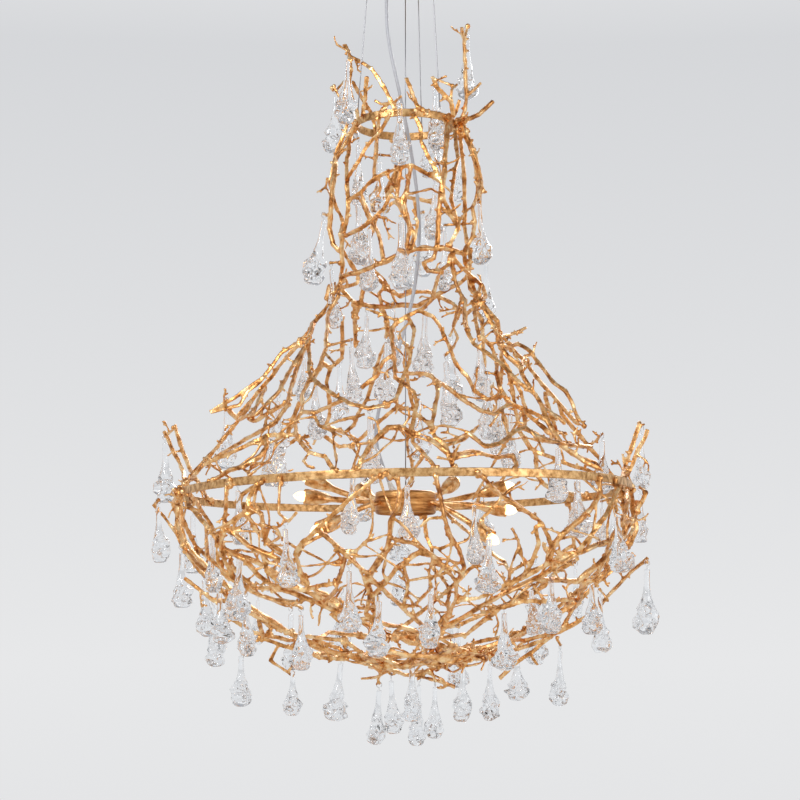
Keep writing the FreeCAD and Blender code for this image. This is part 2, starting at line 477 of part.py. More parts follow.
# Drops on the far side: degrees round the axis, row of the neck top, and length and width in pixels
BACK_DROPS_PIXELS = [
    (62, 108, 60, 23), (118, 150, 58, 22), (75, 205, 62, 24), (102, 300, 60, 24), (60, 330, 62, 25),
    (128, 355, 58, 23), (84, 385, 62, 26), (40, 405, 58, 24), (148, 420, 60, 24), (104, 452, 58, 26),
    (66, 476, 60, 25), (22, 500, 56, 24), (160, 510, 60, 24), (128, 528, 58, 25), (92, 540, 60, 26),
    (50, 556, 58, 24), (112, 590, 60, 26), (74, 610, 58, 24), (140, 612, 58, 24), (36, 604, 60, 25),
]

# Outline of a drop: share of its length from the neck's top, share of its body's half width
DROP_SHARES = [(0.0, 0.17), (0.42, 0.24), (0.78, 1.0), (1.0, 0.46)]
DROP_CHECK_SHARES = [(0.0, 0.19), (0.15, 0.2), (0.3, 0.23), (0.42, 0.26), (0.52, 0.45), (0.62, 0.66), (0.7, 0.84),
                     (0.78, 1.0), (0.86, 0.9), (0.94, 0.68), (1.0, 0.46)]
PENTAGON_SHARE = 1.06
MIDDLE_SHARE = 0.35
HOOK_SHARE = 0.7

# Lamps: degrees round the axis, rise of the mouth over the arm's root as a share of the reach
LAMP_SHARES = [(-148, -0.30), (-170, 0.05), (170, 0.27), (118, 0.20), (60, 0.28), (10, 0.17), (-12, -0.08),
               (-32, -0.40), (-89, -0.42)]

BASE_RISE_SHARE = 0.55
ELBOW_RISE_SHARE = 0.12
SLEEVE_FLOOR_SHARE = 0.35
FERRULE_TIP_SHARE = 0.6
# Outline of a bulb: share of its length, share of its radius
BULB_SHARES = [(0.0, 0.8), (0.5, 1.0), (1.0, 0.45)]

# Route of the power cord: across, towards the back, and up from the main ring, in millimetres
CORD_POINTS = [(-39, 0, 1050), (-39, 0, 1010), (-38, -3, 950), (-29, -7, 890), (-14, -14, 822), (2, -17, 742),
               (17, -16, 655), (28, -13, 565), (27, -11, 480), (17, -15, 398), (-2, -18, 322), (-28, -15, 244),
               (-52, -7, 176), (-62, 0, 112), (-49, 1, 58), (-33, 0, 20)]
CORD_TURN_SHARE = 0.45
GLAND_SHARE = 0.84
BOOT_SHARE = 1.25

WIRE_ANGLES_DEGREES = (172.0, 70.0, -46.0)
NECK_SEGMENTS = 3
TILT_DEGREES = 1.1
TINY_SHARE = 0.03
SWING_DEGREES = (-8, -4, 4, 8)
SHARPEST_TURN_DEGREES = 105.0
MITRE_ROOM = 1.25
# Small shifts, in hook gaps, that part two faces lying almost in one plane
NUDGES = [(0, 0, 0), (0.7, 0.3, 0.5), (-0.6, 0.5, 0.4), (0.4, -0.7, -0.5), (-0.5, -0.4, 0.8)]

os.makedirs("parts", exist_ok=True)
doc = FreeCAD.newDocument("BranchChandelier")
sheet = doc.addObject("Spreadsheet::Sheet", "Sizes")
for row, (alias, value) in enumerate(SIZES.items(), start=1):
    sheet.set("A%d" % row, alias)
    sheet.set("B%d" % row, str(value))
    sheet.setAlias("B%d" % row, alias)
doc.recompute()

NODES = []
STATE = {}


def size(alias):
    return float(sheet.get(alias))


def keep(obj, label):
    obj.Label = label
    NODES.append(obj)
    return obj


def bind(obj, **expressions):
    for prop, text in expressions.items():
        for alias in SIZES:
            text = text.replace("<%s>" % alias, "Sizes.%s" % alias)
        obj.setExpression(prop, text)
    return obj


def primitive(kind, name, z=None, x=None, y=None, **expressions):
    obj = doc.addObject(kind, name)
    bind(obj, **expressions)
    for axis, text in (("x", x), ("y", y), ("z", z)):
        if text is not None:
            bind(obj, **{"Placement.Base." + axis: text})
    return obj


def prism(name, flats, radius, height, z):
    obj = primitive("Part::Prism", name, z=z, Circumradius=radius, Height=height)
    obj.Polygon = flats
    return obj


def cut(name, base, tool):
    obj = doc.addObject("Part::Cut", name)
    obj.Base = base
    obj.Tool = tool
    return obj


def fuse(name, shapes):
    obj = doc.addObject("Part::MultiFuse", name)
    obj.Shapes = shapes
    return obj


def feature(name, solids):
    obj = doc.addObject("Part::Feature", name)
    obj.Shape = Part.makeCompound(solids)
    obj.Placement = Placement()
    return keep(obj, name)


# Vectors and distances

def polar(radius, degrees, z):
    angle = math.radians(degrees)
    return Vector(radius * math.cos(angle), radius * math.sin(angle), z)


def unit(vector):
    return Vector(vector).normalize()


def nearest_on_run(point, start, end):
    run = end - start
    share = (point - start).dot(run) / max(run.dot(run), 1e-9)
    return start + run * min(max(share, 0.0), 1.0)


def run_gap(a, b, c, d):
    # Least distance between two runs: on their ends, or where their lines pass closest
    gaps = [nearest_on_run(a, c, d).distanceToPoint(a), nearest_on_run(b, c, d).distanceToPoint(b),
            nearest_on_run(c, a, b).distanceToPoint(c), nearest_on_run(d, a, b).distanceToPoint(d)]
    u = b - a
    v = d - c
    w = a - c
    uu = u.dot(u)
    uv = u.dot(v)
    vv = v.dot(v)
    spread = uu * vv - uv * uv
    if spread > 1e-6:
        s = (uv * v.dot(w) - vv * u.dot(w)) / spread
        t = (uu * v.dot(w) - uv * u.dot(w)) / spread
        if 0 < s < 1 and 0 < t < 1:
            gaps.append((a + u * s).distanceToPoint(c + v * t))
    return min(gaps)


# Solids with flat faces

def flat_face(points):
    return Part.Face(Part.makePolygon(list(points) + [points[0]]))


def solid_from_rings(rings):
    faces = [flat_face(list(reversed(rings[0]))), flat_face(rings[-1])]
    count = len(rings[0])
    for lower, upper in zip(rings, rings[1:]):
        for k in range(count):
            j = (k + 1) % count
            faces.append(flat_face([lower[k], lower[j], upper[j], upper[k]]))
    return Part.Solid(Part.Shell(faces))


def cross_axes(direction):
    helper = Vector(0, 0, 1)
    if abs(direction.dot(helper)) > 0.9:
        helper = Vector(1, 0, 0)
    first = unit(direction.cross(helper))
    return first, unit(direction.cross(first))


def polygon_ring(centre, direction, radius, sides, turn=0.0):
    first, second = cross_axes(direction)
    ring = []
    for k in range(sides):
        angle = 2 * math.pi * k / sides + turn
        ring.append(centre + first * (radius * math.cos(angle)) + second * (radius * math.sin(angle)))
    return ring


def corner_radius(radius, sides):
    # Corner radius of the regular polygon with a round bar's area
    return radius * math.sqrt(2 * math.pi / (sides * math.sin(2 * math.pi / sides)))


def bar_rings(points, radius, sides):
    # Corners of a bar of one section along straight runs, mitred at its bends, so that every face is flat
    runs = [unit(b - a) for a, b in zip(points, points[1:])]
    ring = polygon_ring(points[0], runs[0], corner_radius(radius, sides), sides)
    rings = [ring]
    for i in range(1, len(points)):
        run = runs[i - 1]
        mitre = unit(run + runs[i]) if i < len(runs) else run
        ring = slid(ring, run, points[i], mitre)
        rings.append(ring)
    return rings


def slid(ring, run, place, normal):
    # The ring's corners moved along the run into the plane through a place
    return [p + run * ((place - p).dot(normal) / run.dot(normal)) for p in ring]


def bar_solid(points, radius, sides):
    return solid_from_rings(bar_rings(points, radius, sides))


def tapered_solid(start, direction, stations, sides):
    # Stations are pairs: distance along the axis, corner radius
    rings = [polygon_ring(start + direction * along, direction, radius, sides) for along, radius in stations]
    return solid_from_rings(rings)


# Photograph to cage

def photo_ray(pixel):
    across = (pixel[0] - PHOTO_AXIS_PIXELS) / PHOTO_FOCAL_PIXELS
    up = (PHOTO_CENTRE_PIXELS - pixel[1]) / PHOTO_FOCAL_PIXELS
    pitch = math.radians(PHOTO_PITCH_DEGREES)
    return across, math.cos(pitch) - math.sin(pitch) * up, math.sin(pitch) + math.cos(pitch) * up


def photo_point(pixel, depth):
    # Point of the photograph at a depth behind the lamp's axis, all in pixels
    dx, dy, dz = photo_ray(pixel)
    reach = (PHOTO_DISTANCE_PIXELS + depth) / dy
    return reach * dx, depth, reach * dz - PHOTO_RING_ABOVE_CAMERA_PIXELS


PROFILE = sorted((photo_point((PHOTO_AXIS_PIXELS, row), 0.0)[2], half) for row, half in PROFILE_PIXELS)


def between(value, table):
    if value <= table[0][0]:
        return table[0][1]
    for (low, first), (high, second) in zip(table, table[1:]):
        if value <= high:
            return first + (second - first) * (value - low) / (high - low)
    return table[-1][1]


def skin_point(pixel, side, layer):
    # Where the ray through a pixel meets the cage's skin, near or far side
    sign = -1.0 if side == "near" else 1.0
    depth = 0.0
    for _ in range(25):
        x, y, height = photo_point(pixel, depth)
        radius = between(height, PROFILE) + layer * size("layer_step") / real_scale(height)
        depth = sign * math.sqrt(max(radius * radius - x * x, 0.0))
    return real_point(*photo_point(pixel, depth))


SCALES = None


def real_scale(height):
    # Millimetres for a pixel, from the real radii of the rings and the waist
    table = [(0.0, size("main_ring_radius") / PHOTO_RING_RADIUS_PIXELS),
             (PHOTO_WAIST_ABOVE_RING_PIXELS, size("waist_radius") / PHOTO_WAIST_RADIUS_PIXELS),
             (PHOTO_CROWN_ABOVE_RING_PIXELS, size("crown_ring_radius") / PHOTO_CROWN_RADIUS_PIXELS)]
    return between(height, table)


def real_height(height):
    if height >= 0:
        rise = size("main_ring_drop") - size("crown_ring_drop")
        return height * rise / PHOTO_CROWN_ABOVE_RING_PIXELS - size("main_ring_drop")
    return height * size("bowl_depth") / PHOTO_BOWL_BELOW_RING_PIXELS - size("main_ring_drop")


def real_point(x, y, height):
    scale = real_scale(height)
    return Vector(x * scale, y * scale, real_height(height))


# Ceiling fitting

def ceiling_plate():
    top = "-<plate_thickness>"
    plate = prism("plate_disc", CANOPY_FLATS, "<plate_diameter> / 2", "<plate_thickness>", top)
    holes = [primitive("Part::Cylinder", "plate_wire_entry", z=top, Radius="<wire_entry_diameter> / 2",
                       Height="<plate_thickness>")]
    for k in range(4):
        angle = 45 + 90 * k
        holes.append(primitive("Part::Cylinder", "plate_bolt_hole_%d" % k, z=top,
                               x="<bolt_circle_diameter> / 2 * cos(%d)" % angle,
                               y="<bolt_circle_diameter> / 2 * sin(%d)" % angle,
                               Radius="<bolt_hole_diameter> / 2", Height="<plate_thickness>"))
    keep(cut("plate", plate, fuse("plate_holes", holes)), "ceiling_plate")


def canopy_cover():
    bottom = "-<canopy_height>"
    inside = "<canopy_diameter> / 2 - <canopy_wall>"
    outer = prism("canopy_outer", CANOPY_FLATS, "<canopy_diameter> / 2", "<canopy_height> - <ceiling_gap>", bottom)
    hollow = prism("canopy_hollow", CANOPY_FLATS, inside, "<canopy_height>", bottom + " + <canopy_wall>")
    holes = [hollow]
    for k, angle in enumerate(WIRE_ANGLES_DEGREES):
        holes.append(primitive("Part::Prism", "canopy_wire_hole_%d" % k, z=bottom,
                               x="<anchor_circle_diameter> / 2 * cos(%g)" % angle,
                               y="<anchor_circle_diameter> / 2 * sin(%g)" % angle,
                               Circumradius="<canopy_wire_hole> / 2", Height="<canopy_wall>"))
    holes.append(primitive("Part::Prism", "canopy_centre_hole", z=bottom, Circumradius="<canopy_wire_hole> / 2",
                           Height="<canopy_wall>"))
    cord_hole = primitive("Part::Prism", "canopy_cord_hole", z=bottom, x="-<cord_inset>",
                          Circumradius="<ceiling_gland_diameter> / 2", Height="<canopy_wall>")
    cord_hole.Polygon = CORD_SIDES
    holes.append(cord_hole)
    for k, sign in enumerate(("", "-")):
        holes.append(primitive("Part::Prism", "canopy_stud_hole_%d" % k, z=bottom, y=sign + "<stud_spacing> / 2",
                               Circumradius="<stud_diameter> / 2 + <hook_gap>", Height="<canopy_wall>"))
    keep(cut("canopy", outer, fuse("canopy_holes", holes)), "canopy_cover")


def canopy_studs():
    reach = "<canopy_height> - <plate_thickness> + <stud_overrun>"
    studs = []
    nuts = []
    for k, sign in enumerate(("", "-")):
        studs.append(primitive("Part::Prism", "stud_%d" % k, z="-<canopy_height> - <stud_overrun>",
                               y=sign + "<stud_spacing> / 2", Circumradius="<stud_diameter> / 2", Height=reach))
        blank = primitive("Part::Prism", "nut_blank_%d" % k, z="-<canopy_height> - <nut_height>",
                          y=sign + "<stud_spacing> / 2", Circumradius="<nut_width> / 2", Height="<nut_height>")
        nuts.append(cut("nut_%d" % k, blank, studs[-1]))
    keep(fuse("stud_pair", studs), "canopy_studs")
    keep(fuse("nut_pair", nuts), "canopy_nuts")


def wire_anchors():
    anchors = []
    places = [(size("anchor_circle_diameter") / 2, angle) for angle in WIRE_ANGLES_DEGREES] + [(0.0, 0.0)]
    top = -size("plate_thickness")
    for radius, angle in places:
        start = polar(radius, angle, top)
        stations = [(0.0, size("anchor_diameter") / 2), (size("anchor_length"), size("anchor_diameter") / 2)]
        anchors.append(tapered_solid(start, Vector(0, 0, -1), stations, 8))
    feature("wire_anchors", [blank.cut(wire_line(k)) for k, blank in enumerate(anchors)])


def terminal_block():
    body = doc.addObject("PartDesign::Body", "terminal_body")
    origin = body.Origin.OriginFeatures
    plane = [item for item in origin if item.Role == "XY_Plane"][0]
    outline = body.newObject("Sketcher::SketchObject", "terminal_outline")
    outline.AttachmentSupport = [(plane, "")]
    outline.MapMode = "FlatFace"
    length = size("terminal_length")
    width = size("terminal_width")
    corners = [Vector(0, 0, 0), Vector(length, 0, 0), Vector(length, width, 0), Vector(0, width, 0)]
    for a, b in zip(corners, corners[1:] + corners[:1]):
        outline.addGeometry(Part.LineSegment(a, b))
    for k in range(4):
        outline.addConstraint(Sketcher.Constraint("Coincident", k, 2, (k + 1) % 4, 1))
    outline.addConstraint(Sketcher.Constraint("Horizontal", 0))
    outline.addConstraint(Sketcher.Constraint("Horizontal", 2))
    outline.addConstraint(Sketcher.Constraint("Vertical", 1))
    outline.addConstraint(Sketcher.Constraint("Vertical", 3))
    outline.addConstraint(Sketcher.Constraint("Coincident", 0, 1, -1, 1))
    outline.addConstraint(Sketcher.Constraint("DistanceX", 0, 1, 0, 2, length))
    outline.addConstraint(Sketcher.Constraint("DistanceY", 1, 1, 1, 2, width))
    outline.setExpression("Constraints[9]", "Sizes.terminal_length")
    outline.setExpression("Constraints[10]", "Sizes.terminal_width")
    pad = body.newObject("PartDesign::Pad", "terminal_pad")
    pad.Profile = outline
    pad.Reversed = True
    pad.setExpression("Length", "Sizes.terminal_height")
    doc.recompute()
    bind(body, **{"Placement.Base.x": "<terminal_offset>", "Placement.Base.y": "-<terminal_width> / 2",
                  "Placement.Base.z": "-<plate_thickness>"})
    keep(body, "terminal_block")


# Wires and cord

def wire_top():
    return -size("plate_thickness") - size("anchor_length") / 2


def wire_ends(index):
    if index == 3:
        top = Vector(0, 0, wire_top())
        bottom = Vector(0, 0, hub_top() + size("ferrule_length"))
        return top, bottom
    angle = WIRE_ANGLES_DEGREES[index]
    middle = size("crown_ring_radius") - size("band_thickness") / 2
    low = -size("crown_ring_drop") + size("band_height") / 2 + size("ferrule_length")
    return polar(size("anchor_circle_diameter") / 2, angle, wire_top()), polar(middle, angle, low)


def wire_line(index):
    top, bottom = wire_ends(index)
    return bar_solid([bottom, top], size("wire_diameter") / 2, WIRE_SIDES)


def wires():
    feature("suspension_wires", [wire_line(k) for k in range(3)])
    feature("hub_wire", [wire_line(3)])
    ferrules = []
    for index in range(4):
        top, bottom = wire_ends(index)
        start = Vector(bottom.x, bottom.y, bottom.z - size("ferrule_length"))
        radius = size("ferrule_diameter") / 2
        stations = [(0.0, radius), (size("ferrule_length"), radius * FERRULE_TIP_SHARE)]
        ferrules.append(tapered_solid(start, Vector(0, 0, 1), stations, WIRE_SIDES))
    feature("wire_ferrules", ferrules)


def cord_points():
    base = -size("main_ring_drop")
    return [Vector(x, y, z + base) for x, y, z in CORD_POINTS]


def power_cord():
    points = cord_points()
    edges = []
    start = points[0]
    radii = []
    for before, corner, after in zip(points, points[1:], points[2:]):
        into = unit(corner - before)
        out = unit(after - corner)
        half = into.getAngle(out) / 2
        shorter = min(corner.distanceToPoint(before), corner.distanceToPoint(after))
        cut_back = CORD_TURN_SHARE * shorter
        radius = cut_back / math.tan(half)
        radii.append(radius)
        first = corner - into * cut_back
        last = corner + out * cut_back
        inward = unit(out - into)
        middle = corner + inward * (radius / math.cos(half) - radius)
        edges.append(Part.LineSegment(start, first).toShape())
        edges.append(Part.Arc(first, middle, last).toShape())
        start = last
    edges.append(Part.LineSegment(start, points[-1]).toShape())
    path = Part.Wire(edges)
    direction = unit(points[1] - points[0])
    corner = corner_radius(size("cord_diameter") / 2, CORD_SIDES)
    ring = polygon_ring(points[0], direction, corner, CORD_SIDES, math.pi / CORD_SIDES)
    section = Part.makePolygon(ring + [ring[0]])
    tube = path.makePipeShell([section], True, False)
    expected = math.pi * size("cord_diameter") ** 2 / 4 * path.Length
    print("cord length %.0f mm, radii %.0f to %.0f mm, volume %.4f of section times length"
          % (path.Length, min(radii), max(radii), tube.Volume / expected))
    feature("power_cord", [tube])


def cord_glands():
    radius = size("ceiling_gland_diameter") / 2
    bottom = cord_points()[0].z
    start = Vector(-size("cord_inset"), 0, bottom)
    bore = size("cord_diameter") / 2
    high = tapered_solid(start, Vector(0, 0, 1), [(0.0, radius * GLAND_SHARE),
                                                  (size("ceiling_gland_length"), radius * GLAND_SHARE)], CORD_SIDES)
    feature("cord_gland", [high])
    before, end = cord_points()[-2:]
    along = unit(end - before)
    reach = (end.z - hub_top()) / -along.z + size("hub_wall")
    stations = [(0.0, bore * BOOT_SHARE), (reach, size("hub_gland_diameter") / 2)]
    boot = tapered_solid(end, along, stations, CORD_SIDES)
    feature("hub_gland", [boot.cut(doc.getObject("hub_block").Shape)])


# Rings and hub

def band_ring(name, label, flats, radius, drop, tilt=0.0):
    low = "-<%s> - <band_height> / 2" % drop
    outer = prism(name + "_outer", flats, "<%s>" % radius, "<band_height>", low)
    inner = prism(name + "_inner", flats, "<%s> - <band_thickness>" % radius, "<band_height>", low)
    ring = keep(cut(name, outer, inner), label)
    if tilt:
        centre = Vector(0, 0, -size(drop))
        turn = Placement(Vector(0, 0, 0), Rotation(Vector(0, 1, 0), -tilt), centre)
        ring.Placement = turn
    return ring


def hub_centre():
    return -size("main_ring_drop") - size("hub_drop")


def hub_top():
    return hub_centre() + size("hub_height") / 2


def hub_parts():
    low = "-<main_ring_drop> - <hub_drop> - <hub_height> / 2"
    block = prism("hub_block", HUB_FLATS, "<hub_radius>", "<hub_height>", low)
    hollow = prism("hub_hollow", HUB_FLATS, "<hub_radius> - <hub_wall>", "<hub_height> - <hub_wall>", low)
    keep(cut("hub_shell", block, hollow), "hub_body")
    cover_low = low + " + <hub_cover_recess>"
    cover = prism("hub_cover_disc", HUB_FLATS, "<hub_radius> - <hub_wall>", "<hub_cover_thickness>", cover_low)
    keep(cover, "hub_cover")
    block = primitive("Part::Box", "hub_terminal_box", z="-<main_ring_drop> - <hub_drop> + <hub_height> / 2 - "
                      "<hub_wall> - <hub_terminal_size>", x="-<hub_terminal_size> / 2", y="-<hub_terminal_size> / 2",
                      Length="<hub_terminal_size>", Width="<hub_terminal_size>", Height="<hub_terminal_size>")
    keep(block, "hub_terminal")


def lamp_axis(index):
    degrees, rise = LAMP_SHARES[index]
    reach = size("sleeve_start") + size("sleeve_length")
    root = polar(size("hub_radius") * math.cos(math.pi / HUB_FLATS), degrees, hub_centre())
    mouth = polar(reach, degrees, hub_centre() + rise * reach)
    base = polar(size("sleeve_start"), degrees, hub_centre() + rise * reach * BASE_RISE_SHARE)
    elbow = polar((size("hub_radius") + size("sleeve_start")) / 2, degrees,
                  hub_centre() + rise * reach * ELBOW_RISE_SHARE)
    return root, elbow, base, unit(mouth - base)


def lamps():
    arms = []
    sleeves = []
    sockets = []
    bulbs = []
    shell = doc.getObject("hub_shell").Shape
    for index in range(len(LAMP_SHARES)):
        root, elbow, base, along = lamp_axis(index)
        length = size("sleeve_length")
        wall = size("sleeve_wall")
        base_radius = size("sleeve_base_radius")
        mouth_radius = size("sleeve_mouth_radius")
        outer = tapered_solid(base, along, [(0.0, base_radius), (length * 0.5, mouth_radius), (length, mouth_radius)],
                              SLEEVE_SIDES)
        floor = length * SLEEVE_FLOOR_SHARE
        hollow = tapered_solid(base, along, [(floor, mouth_radius - wall * 1.4), (length * 1.1, mouth_radius - wall)],
                               SLEEVE_SIDES)
        sleeves.append(outer.cut(hollow))
        arm = bar_solid([root, elbow, base + along * wall], size("arm_radius"), ARM_SIDES)
        arms.append(arm.cut([shell, outer]))
        socket_end = floor + size("socket_length")
        socket = [(floor, size("socket_radius")), (socket_end, size("socket_radius"))]
        sockets.append(tapered_solid(base, along, socket, SLEEVE_SIDES))
        bulb_radius = size("bulb_radius")
        bulb = [(socket_end + size("bulb_length") * along_share, bulb_radius * wide)
                for along_share, wide in BULB_SHARES]
        bulbs.append(tapered_solid(base, along, bulb, SLEEVE_SIDES))
    feature("lamp_arms", arms)
    feature("lamp_sleeves", sleeves)
    feature("lamp_sockets", sockets)
    feature("lamp_bulbs", bulbs)


# Branch cage

class Bar:
    def __init__(self, node, points, radius, sides, solid=None):
        self.node = node
        self.points = points
        self.radius = radius
        self.sides = sides
        self.reach = corner_radius(radius, sides)
        self.solid = solid
        self.solid_is_ring = solid is not None
        self.measure()

    def measure(self):
        self.box = FreeCAD.BoundBox()
        for point in self.points:
            self.box.add(point)
        self.box.enlarge(self.reach)

    def nearest(self, point):
        return min((nearest_on_run(point, a, b) for a, b in zip(self.points, self.points[1:])),
                   key=lambda place: place.distanceToPoint(point))

    def gap(self, other):
        if not self.box.intersect(other.box):
            return None
        least = min(run_gap(a, b, c, d) for a, b in zip(self.points, self.points[1:])
                    for c, d in zip(other.points, other.points[1:]))
        return least - self.reach - other.reach


def ring_bar(label, flats, radius, drop, tilt=0.0):
    # The ring's centre line, as something that branches can grow from
    middle = size(radius) - size("band_thickness") / 2
    points = [polar(middle, 360.0 * k / flats, 0) for k in range(flats + 1)]
    turn = Placement(Vector(0, 0, -size(drop)), Rotation(Vector(0, 1, 0), -tilt))
    solid = [node.Shape for node in NODES if node.Label == label][0]
    return Bar(label, [turn.multVec(p) for p in points], size("band_height") / 2, 4, solid)


BAR_SIZES = {TRUNK: ("trunk_radius", TRUNK_SIDES), BRANCH: ("branch_radius", TWIG_SIDES),
             TWIG: ("twig_radius", TWIG_SIDES)}


def tied(point, carriers):
    return min((bar.nearest(point) for bar in carriers), key=lambda place: place.distanceToPoint(point))


def turn_at(points, i):
    if i in (0, len(points) - 1):
        return 0.0
    return (points[i] - points[i - 1]).getAngle(points[i + 1] - points[i])


def tidy_points(points, reach):
    # Take out points that stand too close together or turn too sharply for the bar's mitres
    shortest = size("shortest_run")
    kept = [points[0]]
    for point in points[1:-1]:
        if point.distanceToPoint(kept[-1]) > shortest and point.distanceToPoint(points[-1]) > shortest:
            kept.append(point)
    kept.append(points[-1])
    while len(kept) > 2:
        worst = None
        for i in range(len(kept) - 1):
            first = turn_at(kept, i)
            second = turn_at(kept, i + 1)
            needed = reach * (math.tan(first / 2) + math.tan(second / 2)) * MITRE_ROOM
            if kept[i].distanceToPoint(kept[i + 1]) < needed:
                worst = i if first > second else i + 1
                break
            if math.degrees(second) > SHARPEST_TURN_DEGREES:
                worst = i + 1
                break
        if worst is None:
            break
        del kept[worst]
    return kept


def simpler(points):
    # Leave out the points that lie close to the line between their neighbours
    if len(points) < 3:
        return points
    gaps = [nearest_on_run(p, points[0], points[-1]).distanceToPoint(p) for p in points[1:-1]]
    worst = max(gaps)
    if worst < size("route_tolerance"):
        return [points[0], points[-1]]
    middle = gaps.index(worst) + 1
    return simpler(points[:middle + 1])[:-1] + simpler(points[middle:])


def plan(bars, node, name, kind, ending, points):
    alias, sides = BAR_SIZES[kind]
    bar = Bar(node, simpler(points), size(alias), sides)
    bar.name = name
    bar.ending = ending
    bars.append(bar)


def tie_end(bar, which, nearer, others):
    point = bar.points[which]
    place = tied(point, nearer)
    if place.distanceToPoint(point) > size("longest_reach"):
        place = tied(point, others)
    gap = place.distanceToPoint(point)
    if gap < size("snap_distance"):
        bar.points[which] = place
    elif gap < size("longest_reach"):
        bar.points.insert(0 if which == 0 else len(bar.points), place)
    elif which == 0:
        print("far root %.0f: %s %s" % (gap, bar.node, bar.name))


def tie_all(bars, rings):
    # Every bar starts on one that was there before it, and a tied one ends on any neighbour
    for _ in range(TIE_PASSES):
        for index, bar in enumerate(bars):
            earlier = rings + bars[:index]
            others = earlier + bars[index + 1:]
            tie_end(bar, 0, earlier, others)
            if bar.ending == "tied":
                tie_end(bar, -1, others, others)
            bar.points = tidy_points(bar.points, bar.reach)
            bar.measure()
    for bar in bars:
        bar.rings = bar_rings(bar.points, bar.radius, bar.sides)
    solids = [solid_from_rings(trimmed_rings(bar, bars)) for bar in bars]
    for bar, solid in zip(bars, solids):
        bar.solid = solid


def facing_plane(place, into, bar):
    # Face of a bar that another bar, running into it at a place, meets head on
    runs = range(len(bar.points) - 1)
    i = min(runs, key=lambda k: nearest_on_run(place, bar.points[k], bar.points[k + 1]).distanceToPoint(place))
    centre = (bar.points[i] + bar.points[i + 1]) / 2
    best = None
    for k in range(bar.sides):
        j = (k + 1) % bar.sides
        corner = bar.rings[i][k]
        normal = unit((bar.rings[i][j] - corner).cross(bar.rings[i + 1][k] - corner))
        if normal.dot(corner - centre) < 0:
            normal = normal * -1
        if best is None or normal.dot(into) < best[1].dot(into):
            best = (corner, normal)
    corner, normal = best
    return corner + normal * size("weld_gap"), normal


def trimmed_rings(bar, bars):
    # Each end that stands on another bar is cut back to that bar's face
    rings = list(bar.rings)
    last = len(rings) - 1
    for end, beside in ((0, 1), (last, last - 1)):
        place = bar.points[end]
        into = unit(place - bar.points[beside])
        for other in bars:
            if other is bar or other.solid_is_ring:
                continue
            if other.nearest(place).distanceToPoint(place) > size("weld_gap"):
                continue
            corner, normal = facing_plane(place, into, other)
            if normal.dot(into) > STEEPEST_TRIM_SHARE:
                continue
            ring = slid(rings[end], into, corner, normal)
            room = min((q - p).dot(into) for p, q in zip(rings[beside], ring))
            if room > size("weld_gap") and max(p.distanceToPoint(place) for p in ring) < other.reach * 4:
                rings[end] = ring
                break
    return rings


def plan_table(bars, node, table):
    for name, (side, kind, ending, layer, pixels) in table.items():
        plan(bars, node, name, kind, ending, [skin_point(pixel, side, layer) for pixel in pixels])


def plan_turned(bars, node, table, names, degrees):
    turn = Rotation(Vector(0, 0, 1), degrees)
    for name in names:
        side, kind, ending, layer, pixels = table[name]
        points = [turn.multVec(skin_point(pixel, side, layer)) for pixel in pixels]
        plan(bars, node, "%s %d" % (name, degrees), kind, ending, points)


def plan_nest(bars):
    dice = random.Random(NEST_SEED)
    low = photo_point((PHOTO_AXIS_PIXELS, NEST_ROW_PIXELS[1]), 0.0)[2]
    high = photo_point((PHOTO_AXIS_PIXELS, NEST_ROW_PIXELS[0]), 0.0)[2]
    for k in range(NEST_BARS):
        angle = 360.0 * k / NEST_BARS + dice.uniform(-9, 9)
        sweep = dice.uniform(*NEST_SWEEP_DEGREES) * dice.choice((-1, 1))
        first = dice.uniform(low, high)
        last = dice.uniform(low, high)
        middle = min(first, last) - dice.uniform(0, 1) * (min(first, last) - low)
        points = []
        for i in range(NEST_POINTS):
            share = i / (NEST_POINTS - 1)
            height = first + (last - first) * share + (middle - (first + last) / 2) * 4 * share * (1 - share)
            height = max(height, low)
            radius = between(height, PROFILE) + dice.uniform(-4, 4)
            turned = math.radians(angle + sweep * share)
            points.append(real_point(radius * math.cos(turned), radius * math.sin(turned), height))
        plan(bars, "branches_bowl_nest", "nest %d" % k, BRANCH, "tied", points)


